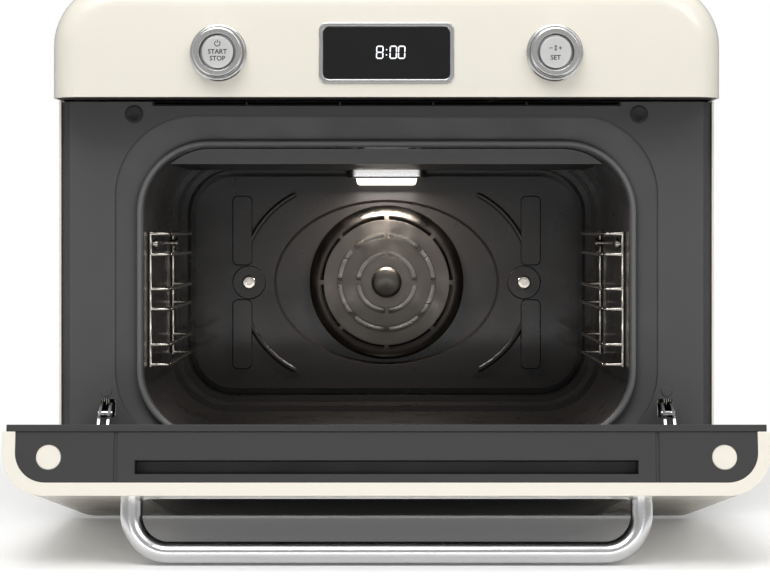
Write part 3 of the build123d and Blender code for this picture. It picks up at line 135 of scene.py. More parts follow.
def object_noise(tree, scale, detail=3.0, stretch=(1, 1, 1)):
    """Noise on object coordinates; returns its factor output."""
    place = tree.nodes.new("ShaderNodeTexCoord")
    mapping = tree.nodes.new("ShaderNodeMapping")
    mapping.inputs["Scale"].default_value = stretch
    noise = tree.nodes.new("ShaderNodeTexNoise")
    noise.inputs["Scale"].default_value = scale
    noise.inputs["Detail"].default_value = detail
    tree.links.new(place.outputs["Object"], mapping.inputs["Vector"])
    tree.links.new(mapping.outputs["Vector"], noise.inputs["Vector"])
    return noise.outputs["Fac"]


def map_range(tree, value, low, high, low_in=0.3, high_in=0.7):
    node = tree.nodes.new("ShaderNodeMapRange")
    node.inputs["From Min"].default_value = low_in
    node.inputs["From Max"].default_value = high_in
    node.inputs["To Min"].default_value = low
    node.inputs["To Max"].default_value = high
    tree.links.new(value, node.inputs["Value"])
    return node.outputs["Result"]


def vary_colour(tree, shader, colour, fac, amount):
    """Base colour that drifts a little darker and lighter with fac."""
    mix = tree.nodes.new("ShaderNodeMix")
    mix.data_type = "RGBA"
    mix.inputs[6].default_value = [part * (1 - amount) for part in colour[:3]] + [1]
    mix.inputs[7].default_value = [min(1, part * (1 + amount)) for part in colour[:3]] + [1]
    tree.links.new(fac, mix.inputs[0])
    tree.links.new(mix.outputs[2], shader.inputs["Base Color"])


def add_bump(tree, shader, height, strength, distance):
    bump = tree.nodes.new("ShaderNodeBump")
    bump.inputs["Strength"].default_value = strength
    bump.inputs["Distance"].default_value = distance
    tree.links.new(height, bump.inputs["Height"])
    tree.links.new(bump.outputs["Normal"], shader.inputs["Normal"])


def enamel(name, colour, roughness, coat=0.0, drift=0.03, peel=0.0):
    """Fired enamel or powder coat: slight colour drift, uneven gloss and orange peel."""
    material, tree, shader = new_material(name)
    vary_colour(tree, shader, colour, object_noise(tree, 9), drift)
    gloss = map_range(tree, object_noise(tree, 35), roughness * 0.85, roughness * 1.15)
    tree.links.new(gloss, shader.inputs["Roughness"])
    shader.inputs["Coat Weight"].default_value = coat
    shader.inputs["Coat Roughness"].default_value = 0.08
    if peel:
        add_bump(tree, shader, object_noise(tree, 420, 2), peel, 0.0004)
    return material


def metal(name, colour, roughness, brushed=None, drift=0.05, bump=0.05, uneven=0.25):
    """Metal with streaks along its brushing direction, or with faint mottling."""
    material, tree, shader = new_material(name)
    shader.inputs["Metallic"].default_value = 1.0
    stretch = brushed or (1, 1, 1)
    fac = object_noise(tree, 160 if brushed else 60, 4, stretch)
    vary_colour(tree, shader, colour, fac, drift)
    gloss = map_range(tree, fac, roughness * (1 - uneven), roughness * (1 + uneven))
    tree.links.new(gloss, shader.inputs["Roughness"])
    if bump:
        add_bump(tree, shader, fac, bump, 0.0002)
    return material


def smooth_metal(name, colour, roughness):
    """Plated or finely blasted metal with hardly any unevenness."""
    return metal(name, colour, roughness, drift=0.01, bump=0, uneven=0.05)


def moulding(name, colour, roughness, grain=900):
    """Moulded plastic or rubber with a fine spark-eroded grain."""
    material, tree, shader = new_material(name)
    vary_colour(tree, shader, colour, object_noise(tree, 25), 0.06)
    fine = object_noise(tree, grain, 2)
    tree.links.new(map_range(tree, fine, roughness * 0.85, roughness * 1.1),
                   shader.inputs["Roughness"])
    add_bump(tree, shader, fine, 0.12, 0.0002)
    return material


def dark_glass(name, colour, roughness):
    """Black printed glass: deep colour under a hard gloss."""
    material, tree, shader = new_material(name)
    vary_colour(tree, shader, colour, object_noise(tree, 14), 0.1)
    tree.links.new(map_range(tree, object_noise(tree, 30), roughness * 0.6, roughness * 1.5),
                   shader.inputs["Roughness"])
    shader.inputs["Coat Weight"].default_value = 0.6
    shader.inputs["Coat Roughness"].default_value = 0.03
    return material


def glowing(name, colour, strength, surface=0.4):
    """Surface that gives light, a little uneven."""
    material, tree, shader = new_material(name)
    shader.inputs["Base Color"].default_value = colour
    shader.inputs["Roughness"].default_value = surface
    shader.inputs["Emission Color"].default_value = colour
    glow = map_range(tree, object_noise(tree, 60), strength * 0.92, strength * 1.08)
    tree.links.new(glow, shader.inputs["Emission Strength"])
    return material


def circuit_board(name):
    """Green solder mask over a faint track pattern."""
    material, tree, shader = new_material(name)
    place = tree.nodes.new("ShaderNodeTexCoord")
    bricks = tree.nodes.new("ShaderNodeTexBrick")
    bricks.inputs["Scale"].default_value = 140
    bricks.inputs["Color1"].default_value = srgb(22, 92, 48)
    bricks.inputs["Color2"].default_value = srgb(18, 80, 42)
    bricks.inputs["Mortar"].default_value = srgb(62, 128, 66)
    tree.links.new(place.outputs["Object"], bricks.inputs["Vector"])
    tree.links.new(bricks.outputs["Color"], shader.inputs["Base Color"])
    shader.inputs["Roughness"].default_value = 0.4
    return material


materials = {}


def finish_of(name):
    """One of the oven's finishes, made when it is first asked for."""
    if name not in materials:
        materials[name] = FINISHES[name]()
    return materials[name]


FINISHES = {
    "cream": lambda: enamel("cream_enamel", settings().cream, 0.22, coat=0.35, drift=0.008),
    "frame": lambda: enamel("frame_enamel", settings().face, 0.42, drift=0.03, peel=0.05),
    "door_lining": lambda: enamel("door_lining_enamel", settings().door_dark, 0.5, drift=0.03,
                                  peel=0.05),
    "chamber": lambda: enamel("chamber_enamel", settings().chamber, 0.3, coat=0.15, drift=0.06,
                              peel=0.04),
    "tray": lambda: enamel("underside_coat", srgb(48, 46, 44), 0.5),
    "galvanised": lambda: metal("galvanised_sheet", srgb(165, 167, 168), 0.38, drift=0.12),
    "stainless": lambda: metal("stainless_steel", srgb(196, 192, 186), 0.24, brushed=(1, 12, 1)),
    "guard": lambda: metal("guard_steel", srgb(108, 103, 98), 0.36, drift=0.04),
    "shield": lambda: metal("shield_sheet", srgb(98, 98, 98), 0.4, brushed=(1, 14, 14)),
    "chrome": lambda: metal("bright_chrome", srgb(232, 232, 232), 0.08, drift=0.02, bump=0),
    "satin": lambda: smooth_metal("satin_silver", srgb(228, 228, 227), 0.26),
    "wire": lambda: metal("rail_wire", srgb(214, 208, 198), 0.2, drift=0.05),
    "rubber": lambda: moulding("black_rubber", srgb(40, 40, 41), 0.62),
    "gasket": lambda: moulding("gasket_rubber", srgb(112, 112, 113), 0.45),
    "dark_plastic": lambda: moulding("dark_plastic", srgb(38, 38, 39), 0.5),
    "grey_plastic": lambda: moulding("base_coat", srgb(102, 103, 105), 0.55),
    "legend": lambda: moulding("legend_print", srgb(24, 24, 26), 0.5),
    "board": lambda: circuit_board("circuit_board"),
    "display": lambda: dark_glass("display_glass", srgb(8, 8, 9), 0.12),
    "window": lambda: dark_glass("window_glass", srgb(22, 22, 24), 0.08),
    "inner_glass": lambda: dark_glass("inner_glass", srgb(36, 35, 34), 0.1),
    "digits": lambda: glowing("clock_digits", (0.93, 0.96, 1, 1), 0.8),
    "lamp": lambda: glowing("lamp_glow", (1.0, 0.93, 0.82, 1), 2.2),
    "copper": lambda: metal("motor_windings", srgb(150, 96, 60), 0.4, brushed=(1, 1, 30)),
    "handle_chrome": lambda: smooth_metal("handle_chrome", srgb(240, 240, 241), 0.22),
    "knob_metal": lambda: smooth_metal("knob_metal", srgb(228, 228, 227), 0.26),
    "button_metal": lambda: smooth_metal("button_metal", srgb(232, 232, 231), 0.42),
    "fan": lambda: metal("fan_sheet", srgb(190, 184, 176), 0.3, drift=0.1),
}


def dress(obj, finish):
    """Gives a piece one finish all over."""
    obj.data.materials.clear()
    obj.data.materials.append(finish_of(finish))


# Mesh helpers


def add_piece(name, mesh, finish, body, replaced=()):
    """Puts a mesh in the scene as a piece on a body, with its finish, and hides the parts it replaces.
    """
    obj = bpy.data.objects.new(name, mesh)
    bpy.context.scene.collection.objects.link(obj)
    dress(obj, finish)
    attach(obj, body)
    if replaced:
        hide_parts(*replaced)
    return obj


def smooth_by_angle(mesh, angle):
    """Smooth faces, with edges over the angle kept sharp."""
    work = bmesh.new()
    work.from_mesh(mesh)
    for face in work.faces:
        face.smooth = True
    for edge in work.edges:
        edge.smooth = len(edge.link_faces) == 2 and edge.calc_face_angle(0) < angle
    work.to_mesh(mesh)
    work.free()


def body_of_node(node):
    for body, members in frame["record"]["behaviour"]["bodies"].items():
        if node in members:
            return body
    raise ValueError(f"{node} is on no body")


WELD_DISTANCE = 0.00002
FLAT_WITHIN = math.radians(0.6)


def refine(node, finish, angle=math.radians(32), edge=None):
    """Merged, smooth-shaded copy of a CAD node with softened edges, in the node's place."""
    mesh = nodes[node].data.copy()
    mesh.name = node + "_finished"
    work = bmesh.new()
    work.from_mesh(mesh)
    bmesh.ops.remove_doubles(work, verts=work.verts, dist=WELD_DISTANCE)
    width = settings().edge_width if edge is None else edge
    if width:
        bmesh.ops.dissolve_limit(work, angle_limit=FLAT_WITHIN, verts=work.verts,
                                 edges=work.edges, delimit={"NORMAL"})
    work.to_mesh(mesh)
    work.free()
    smooth_by_angle(mesh, angle)
    piece = add_piece(node + "_finished", mesh, finish, body_of_node(node),
                      (node,))
    if width:
        bevel = piece.modifiers.new("softened_edges", "BEVEL")
        bevel.width = width
        bevel.segments = 2
        bevel.limit_method = "ANGLE"
        bevel.angle_limit = angle
        bevel.harden_normals = True
        bevel.use_clamp_overlap = True
    return piece


def mesh_from(work, name, angle=None):
    """Ends a bmesh as a new mesh with its faces outwards, smooth below an angle where one is given."""
    bmesh.ops.recalc_face_normals(work, faces=work.faces)
    mesh = bpy.data.meshes.new(name)
    work.to_mesh(mesh)
    work.free()
    if angle is not None:
        smooth_by_angle(mesh, math.radians(angle))
    return mesh


def loop_pairs(items):
    """Consecutive index pairs round a loop."""
    count = len(items)
    return [(index, (index + 1) % count) for index in range(count)]


def rounded_path(half_width, low, high, radius, steps):
    """Points and outward directions round a rounded rectangle in X and Z."""
    points = []
    for across, up, first in ((1, 1, 0), (-1, 1, 90), (-1, -1, 180), (1, -1, 270)):
        centre_x = across * (half_width - radius)
        centre_z = high - radius if up > 0 else low + radius
        for step in range(steps + 1):
            turn = math.radians(first + 90 * step / steps)
            out = (math.cos(turn), math.sin(turn))
            points.append((centre_x + radius * out[0], centre_z + radius * out[1], *out))
    return points


def sweep_ring(name, path, profile):
    """Mesh of a closed profile of (outwards, depth) pairs carried round a closed path."""
    work = bmesh.new()
    rings = []
    for x, z, out_x, out_z in path:
        rings.append([work.verts.new((x + out * out_x, depth, z + out * out_z))
                      for out, depth in profile])
    for here, there in loop_pairs(rings):
        for first, second in loop_pairs(profile):
            work.faces.new((rings[here][first], rings[there][first],
                            rings[there][second], rings[here][second]))
    return mesh_from(work, name, 50)


def lathe(work, profile, centre, axis, segments=48):
    """Adds a turned solid to a bmesh: profile of (radius, height) pairs from pole to pole."""
    turn = Vector((0, 0, 1)).rotation_difference(Vector(axis)).to_matrix()
    rings = []
    for radius, height in profile:
        if radius == 0:
            rings.append([work.verts.new(Vector(centre) + turn @ Vector((0, 0, height)))])
            continue
        ring = []
        for step in range(segments):
            angle = 2 * math.pi * step / segments
            place = Vector((radius * math.cos(angle), radius * math.sin(angle), height))
            ring.append(work.verts.new(Vector(centre) + turn @ place))
        rings.append(ring)
    for lower, upper in zip(rings, rings[1:]):
        for first, second in loop_pairs(range(segments)):
            corners = [lower[first % len(lower)], lower[second % len(lower)],
                       upper[second % len(upper)], upper[first % len(upper)]]
            unique = list(dict.fromkeys(corners))
            if len(unique) > 2:
                work.faces.new(unique)


def turned_mesh(name, profile, centres, axis, segments=48, angle=35):
    """One mesh of the same turned solid at several places."""
    work = bmesh.new()
    for centre in centres:
        lathe(work, profile, centre, axis, segments)
    return mesh_from(work, name, angle)


def prism(work, outline, depth, thickness, place=(0, 0)):
    """Adds a flat shape in X and Z, of given thickness towards -Y, to a bmesh."""
    front = [work.verts.new((place[0] + x, depth - thickness, place[1] + z)) for x, z in outline]
    back = [work.verts.new((place[0] + x, depth, place[1] + z)) for x, z in outline]
    work.faces.new(front)
    work.faces.new(list(reversed(back)))
    for first, second in loop_pairs(outline):
        work.faces.new((front[first], back[first], back[second], front[second]))


def flat_shapes(name, shapes):
    """Mesh of several prisms: (outline, depth, thickness, place)."""
    work = bmesh.new()
    for shape in shapes:
        prism(work, *shape)
    return mesh_from(work, name)


def arc_outline(radius, width, start, end, steps=24):
    """Outline of a band along an arc in X and Z."""
    angles = [math.radians(start + (end - start) * step / steps) for step in range(steps + 1)]
    far, near = radius + width / 2, radius - width / 2
    outer = [(far * math.cos(angle), far * math.sin(angle)) for angle in angles]
    inner = [(near * math.cos(angle), near * math.sin(angle)) for angle in reversed(angles)]
    return outer + inner


def bar_outline(length, width, upright=False):
    x, z = (width / 2, length / 2) if upright else (length / 2, width / 2)
    return [(-x, -z), (x, -z), (x, z), (-x, z)]


def evaluated_mesh(obj):
    """Plain mesh of an object as its modifiers or its font make it; the object goes."""
    bpy.context.scene.collection.objects.link(obj)
    bpy.context.view_layer.update()
    final = obj.evaluated_get(bpy.context.evaluated_depsgraph_get())
    mesh = bpy.data.meshes.new_from_object(final)
    bpy.data.objects.remove(obj)
    return mesh


def text_mesh(words, height, centre, depth, thickness):
    """Plain words as a thin solid facing -Y, centred on a place."""
    curve = bpy.data.curves.new(words.lower() + "_letters", "FONT")
    curve.body = words
    curve.size = height
    curve.align_x = "CENTER"
    curve.extrude = thickness / 2
    curve.resolution_u = 3
    curve.offset = height * 0.018
    mesh = evaluated_mesh(bpy.data.objects.new(words.lower() + "_letters", curve))
    upright = Matrix.Rotation(math.pi / 2, 4, "X")
    place = Matrix.Translation((centre[0], depth - thickness / 2, centre[1]))
    mesh.transform(place @ upright)
    return mesh


def join_meshes(name, meshes):
    work = bmesh.new()
    for mesh in meshes:
        work.from_mesh(mesh)
    joined = bpy.data.meshes.new(name)
    work.to_mesh(joined)
    work.free()
    return joined


# Geometry Nodes


def group_inputs(tree, rows):
    """Makes a tree's inputs from (name, kind, default) rows; returns their identifiers by name."""
    names = {}
    for name, kind, default in rows:
        socket = tree.interface.new_socket(name, in_out="INPUT", socket_type="NodeSocket" + kind)
        if default is not None:
            socket.default_value = default
        names[name] = socket.identifier
    return names


def finish_tree(tree, geometry, material_output):
    """Ends a tree in Realize Instances and Set Material."""
    tree.interface.new_socket("Geometry", in_out="OUTPUT", socket_type="NodeSocketGeometry")
    realize = tree.nodes.new("GeometryNodeRealizeInstances")
    paint = tree.nodes.new("GeometryNodeSetMaterial")
    out = tree.nodes.new("NodeGroupOutput")
    tree.links.new(geometry, realize.inputs["Geometry"])
    tree.links.new(realize.outputs["Geometry"], paint.inputs["Geometry"])
    tree.links.new(material_output, paint.inputs["Material"])
    tree.links.new(paint.outputs["Geometry"], out.inputs[0])


def louvre_tree():
    """Rows and columns of raised louvre lips on a wall across Y."""
    tree = bpy.data.node_groups.new("louvre_lips", "GeometryNodeTree")
    names = group_inputs(tree, (
        ("Columns", "Int", 5), ("Rows", "Int", 9),
        ("Column pitch", "Float", 0.06), ("Row pitch", "Float", 0.009),
        ("Lip length", "Float", 0.046), ("Lip radius", "Float", 0.0014),
        ("Centre", "Vector", (0, 0, 0)), ("Finish", "Material", None)))
    source = tree.nodes.new("NodeGroupInput")
    spans = []
    for count, pitch in (("Columns", "Column pitch"), ("Rows", "Row pitch")):
        fewer = tree.nodes.new("ShaderNodeMath")
        fewer.operation = "SUBTRACT"
        fewer.inputs[1].default_value = 1
        span = tree.nodes.new("ShaderNodeMath")
        span.operation = "MULTIPLY"
        tree.links.new(source.outputs[count], fewer.inputs[0])
        tree.links.new(fewer.outputs[0], span.inputs[0])
        tree.links.new(source.outputs[pitch], span.inputs[1])
        spans.append(span.outputs[0])
    grid = tree.nodes.new("GeometryNodeMeshGrid")
    tree.links.new(spans[0], grid.inputs["Size X"])
    tree.links.new(spans[1], grid.inputs["Size Y"])
    tree.links.new(source.outputs["Columns"], grid.inputs["Vertices X"])
    tree.links.new(source.outputs["Rows"], grid.inputs["Vertices Y"])
    stand = tree.nodes.new("GeometryNodeTransform")
    stand.inputs["Rotation"].default_value = (math.pi / 2, 0, 0)
    tree.links.new(grid.outputs["Mesh"], stand.inputs["Geometry"])
    tree.links.new(source.outputs["Centre"], stand.inputs["Translation"])
    lip = tree.nodes.new("GeometryNodeMeshCylinder")
    lip.inputs["Vertices"].default_value = 12
    tree.links.new(source.outputs["Lip radius"], lip.inputs["Radius"])
    tree.links.new(source.outputs["Lip length"], lip.inputs["Depth"])
    lay = tree.nodes.new("GeometryNodeTransform")
    lay.inputs["Rotation"].default_value = (0, math.pi / 2, 0)
    tree.links.new(lip.outputs["Mesh"], lay.inputs["Geometry"])
    place = tree.nodes.new("GeometryNodeInstanceOnPoints")
    tree.links.new(stand.outputs["Geometry"], place.inputs["Points"])
    tree.links.new(lay.outputs["Geometry"], place.inputs["Instance"])
    finish_tree(tree, place.outputs["Instances"], source.outputs["Finish"])
    return tree, names


def ring_tree():
    """Copies of a small ridge round a circle across Z, such as the treads of a foot."""
    tree = bpy.data.node_groups.new("ridge_ring", "GeometryNodeTree")
    names = group_inputs(tree, (
        ("Count", "Int", 24), ("Radius", "Float", 0.012),
        ("Height", "Float", 0.003), ("Ridge radius", "Float", 0.0007),
        ("Centre", "Vector", (0, 0, 0)), ("Finish", "Material", None)))
    source = tree.nodes.new("NodeGroupInput")
    circle = tree.nodes.new("GeometryNodeMeshCircle")
    tree.links.new(source.outputs["Count"], circle.inputs["Vertices"])
    tree.links.new(source.outputs["Radius"], circle.inputs["Radius"])
    move = tree.nodes.new("GeometryNodeTransform")
    tree.links.new(circle.outputs["Mesh"], move.inputs["Geometry"])
    tree.links.new(source.outputs["Centre"], move.inputs["Translation"])
    ridge = tree.nodes.new("GeometryNodeMeshCylinder")
    ridge.inputs["Vertices"].default_value = 8
    tree.links.new(source.outputs["Ridge radius"], ridge.inputs["Radius"])
    tree.links.new(source.outputs["Height"], ridge.inputs["Depth"])
    place = tree.nodes.new("GeometryNodeInstanceOnPoints")
    tree.links.new(move.outputs["Geometry"], place.inputs["Points"])
    tree.links.new(ridge.outputs["Mesh"], place.inputs["Instance"])
    finish_tree(tree, place.outputs["Instances"], source.outputs["Finish"])
    return tree, names


def grown_mesh(name, tree, names, values):
    """Plain mesh that a Geometry Nodes tree makes with these inputs."""
    carrier = bpy.data.objects.new(name, bpy.data.meshes.new(name + "_seed"))
    modifier = carrier.modifiers.new("pattern", "NODES")
    modifier.node_group = tree
    for key, value in values.items():
        modifier[names[key]] = value
    mesh = evaluated_mesh(carrier)
    mesh.name = name
    return mesh


# Pieces


class OVEN_OT_casing(bpy.types.Operator):
    """Finish the hood, sides, rear wall, base and feet"""
    bl_idname = "oven.casing"
    bl_label = "Casing"

    def execute(self, context):
        refine("hood", "cream", edge=0.0004)
        refine("side_panel_left", "cream")
        refine("side_panel_right", "cream")
        refine("rear_panel", "galvanised", edge=0)
        refine("floor_plate", "galvanised", edge=0)
        refine("base_pan", "grey_plastic")
        self.louvres()
        self.screws()
        self.feet()
        return {"FINISHED"}

    def louvres(self):
        tree, names = louvre_tree()
        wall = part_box("rear_panel")[1][1]
        above_slot = 0.0026
        for name, rows, columns, height in (("louvre_lips_lower", 9, 5, 0.250),
                                            ("louvre_lips_upper", 4, 4, 0.360)):
            mesh = grown_mesh(name, tree, names, {
                "Rows": rows, "Columns": columns, "Centre": (0.0, wall, height + above_slot),
                "Finish": finish_of("galvanised")})
            smooth_by_angle(mesh, math.radians(40))
            add_piece(name, mesh, "galvanised", "casing")

    def screws(self):
        """Domed heads with a round recess, in the place of the plain ones."""
        low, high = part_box("casing_screws")
        radius = 0.0036
        centres = [(x, low[1], z) for x in (low[0] + radius, high[0] - radius)
                   for z in (low[2] + radius, (low[2] + high[2]) / 2, high[2] - radius)]
        profile = ((0.0034, 0), (radius, 0.0004), (0.0031, 0.0012), (0.0018, 0.0017),
                   (0.0011, 0.0016), (0.0008, 0.0006), (0, 0.0006))
        mesh = turned_mesh("casing_screw_heads", profile, centres, (0, 1, 0), 20)
        add_piece("casing_screw_heads", mesh, "stainless", "casing", ("casing_screws",))

    def feet(self):
        """Rubber feet with a shallow recess below and a ring of ridges round the wall."""
        low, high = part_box("feet")
        radius = 0.013
        height = high[2] - low[2]
        centres = [(x, y, 0) for x in (low[0] + radius, high[0] - radius)
                   for y in (low[1] + radius, high[1] - radius)]
        profile = ((0, 0.0012), (0.0068, 0.0012), (0.0074, 0), (0.0124, 0), (radius, 0.0008),
                   (0.0129, 0.0022), (0.0122, 0.0032), (0.0120, height - 0.0004), (0.0116, height),
                   (0, height))
        mesh = turned_mesh("rubber_feet", profile, centres, (0, 0, 1), 40, 60)
        add_piece("rubber_feet", mesh, "rubber", "casing", ("feet",))
        tree, names = ring_tree()
        ridge_middle = 0.0050
        ridges = [grown_mesh("foot_ridges", tree, names, {
            "Count": 28, "Radius": 0.0123, "Height": 0.0024, "Ridge radius": 0.0004,
            "Centre": (x, y, ridge_middle), "Finish": finish_of("rubber")}) for x, y, _ in centres]
        add_piece("foot_ridges", join_meshes("foot_ridges", ridges), "rubber", "casing")


class OVEN_OT_front(bpy.types.Operator):
    """Finish the front frame, its gasket, buffers, outlet grille and the tray under the hood"""
    bl_idname = "oven.front"
    bl_label = "Front frame"

    def execute(self, context):
        refine("front_frame", "frame", math.radians(40), 0.0006)
        refine("vent_grille", "dark_plastic", edge=0.0002)
        refine("fascia_tray", "tray")
        self.gasket()
        self.buffers()
        return {"FINISHED"}

    def gasket(self):
        """Hollow-looking rubber bead: a rounded lip over a narrower root."""
        low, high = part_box("door_gasket")
        bead_width, corner_radius, corner_steps = 0.0045, 0.050, 14
        path = rounded_path(high[0] - bead_width, low[2] + bead_width, high[2] - bead_width,
                            corner_radius, corner_steps)
        front, back = low[1], high[1]
        profile = ((0.0004, back), (0.0040, back), (0.0042, back - 0.0022), (0.0034, back - 0.0030),
                   (0.0044, back - 0.0042), (bead_width, front + 0.0018), (0.0036, front + 0.0005),
                   (0.0024, front), (0.0012, front + 0.0003), (0.0003, front + 0.0014),
                   (0.0002, back - 0.0034))
        mesh = sweep_ring("gasket_bead", path, profile)
        add_piece("gasket_bead", mesh, "gasket", "casing", ("door_gasket",))

    def buffers(self):
        """Rubber buttons with a rounded rim and a slightly raised middle."""
        low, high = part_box("door_buffers")
        radius, step = 0.0069, 0.0002
        face = low[1]
        centre_z = (low[2] + high[2]) / 2
        centres = [(x, 0, centre_z) for x in (low[0] + radius, high[0] - radius)]
        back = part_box("front_frame")[0][1] - step
        profile = ((0, -back), (0.0066, -back), (radius, -back + step), (0.0067, -face - step),
                   (0.0060, -face), (0.0046, -face), (0.0042, -face - step), (0, -face - step))
        mesh = turned_mesh("buffer_heads", profile, centres, (0, -1, 0), 40, 60)
        add_piece("buffer_heads", mesh, "rubber", "casing", ("door_buffers",))


class OVEN_OT_chamber(bpy.types.Operator):
    """Finish the chamber: liner, back wall, guard, rails, shield, heaters and lamp"""
    bl_idname = "oven.chamber"
    bl_label = "Chamber"

    def execute(self, context):
        refine("cavity_liner", "chamber", math.radians(40), 0)
        refine("back_panel", "chamber", math.radians(40), 0)
        refine("fan_guard", "guard", edge=0.0003)
        refine("grill_shield", "shield", edge=0.0003)
        refine("shelf_rails", "wire", math.radians(50), 0)
        refine("lamp_bezel", "satin", edge=0.0003)
        refine("lamp_glass", "lamp", edge=0)
        for node, finish in (("rail_studs", "wire"), ("grill_element", "guard"),
                             ("bottom_element", "guard"), ("ring_heater", "guard"),
                             ("convection_fan", "fan"), ("lamp_bulb", "lamp")):
            refine(node, finish, math.radians(40), 0)
        self.screws()
        self.ribs()
        return {"FINISHED"}

    def screws(self):
        """Bright screws in the back wall, enamelled ones in the front frame."""
        piece = refine("chamber_screws", "wire", math.radians(40), 0.0002)
        piece.data.materials.append(finish_of("frame"))
        for face in piece.data.polygons:
            face.material_index = 1 if face.center.y < 0 else 0

    def ribs(self):
        """Rounded ribs on the back wall, two arcs on each side of the fan's dish."""
        centre_z = sum(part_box("fan_guard")[end][2] for end in (0, 1)) / 2
        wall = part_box("back_panel")[0][1] + 0.0020
        centre_x, radius, half_width, rise = 0.0415, 0.0875, 0.0026, 0.0020
        first_angle, last_angle, steps, parts = 16, 66, 24, 8
        blunt_end, taper_steps = 0.3, 3
        work = bmesh.new()
        for side in (1, -1):
            for up in (1, -1):
                rings = []
                for step in range(steps + 1):
                    turn = math.radians(first_angle + (last_angle - first_angle) * step / steps)
                    taper = min(1.0, blunt_end + min(step, steps - step) / taper_steps)
                    ring = []
                    for part in range(parts + 1):
                        across = math.radians(180 * part / parts)
                        reach = radius + half_width * taper * math.cos(across)
                        ring.append(work.verts.new((
                            side * (centre_x + reach * math.cos(turn)),
                            wall - rise * taper * math.sin(across),
                            centre_z + up * reach * math.sin(turn))))
                    rings.append(ring)
                for here, there in zip(rings, rings[1:]):
                    for first, second in loop_pairs(here):
                        work.faces.new((here[first], there[first], there[second], here[second]))
                work.faces.new(rings[0])
                work.faces.new(list(reversed(rings[-1])))
        mesh = mesh_from(work, "back_wall_ribs", 60)
        add_piece("back_wall_ribs", mesh, "chamber", "casing")


class OVEN_OT_door(bpy.types.Operator):
    """Finish the door, its glass, handle, hinge arms and stays"""
    bl_idname = "oven.door"
    bl_label = "Door"

    def execute(self, context):
        for node, finish, angle, edge in (
                ("door_skin", "cream", 32, 0.0004), ("door_plugs", "cream", 32, 0.0002),
                ("door_inner_panel", "door_lining", 32, 0.0004),
                ("door_end_cap", "door_lining", 32, 0.0003),
                ("door_window_frame", "satin", 32, 0.0003), ("door_handle", "handle_chrome", 50, 0),
                ("handle_screws", "satin", 32, 0), ("hinge_arms", "stainless", 32, 0.0002),
                ("door_stays", "chrome", 32, 0.0002), ("door_inner_glass", "inner_glass", 32, 0.0002),
                ("door_outer_glass", "window", 32, 0.0002)):
            refine(node, finish, math.radians(angle), edge)
        return {"FINISHED"}


SEGMENTS = {"8": "abcdefg", "0": "abcdef"}
LETTER_HEIGHT = 0.0048
PRINT_GAP = 0.00002
PRINT = 0.00008
# A bar that crosses another stands a little prouder, so that no two faces lie in one plane.
CROSSING_PRINT = 0.00010


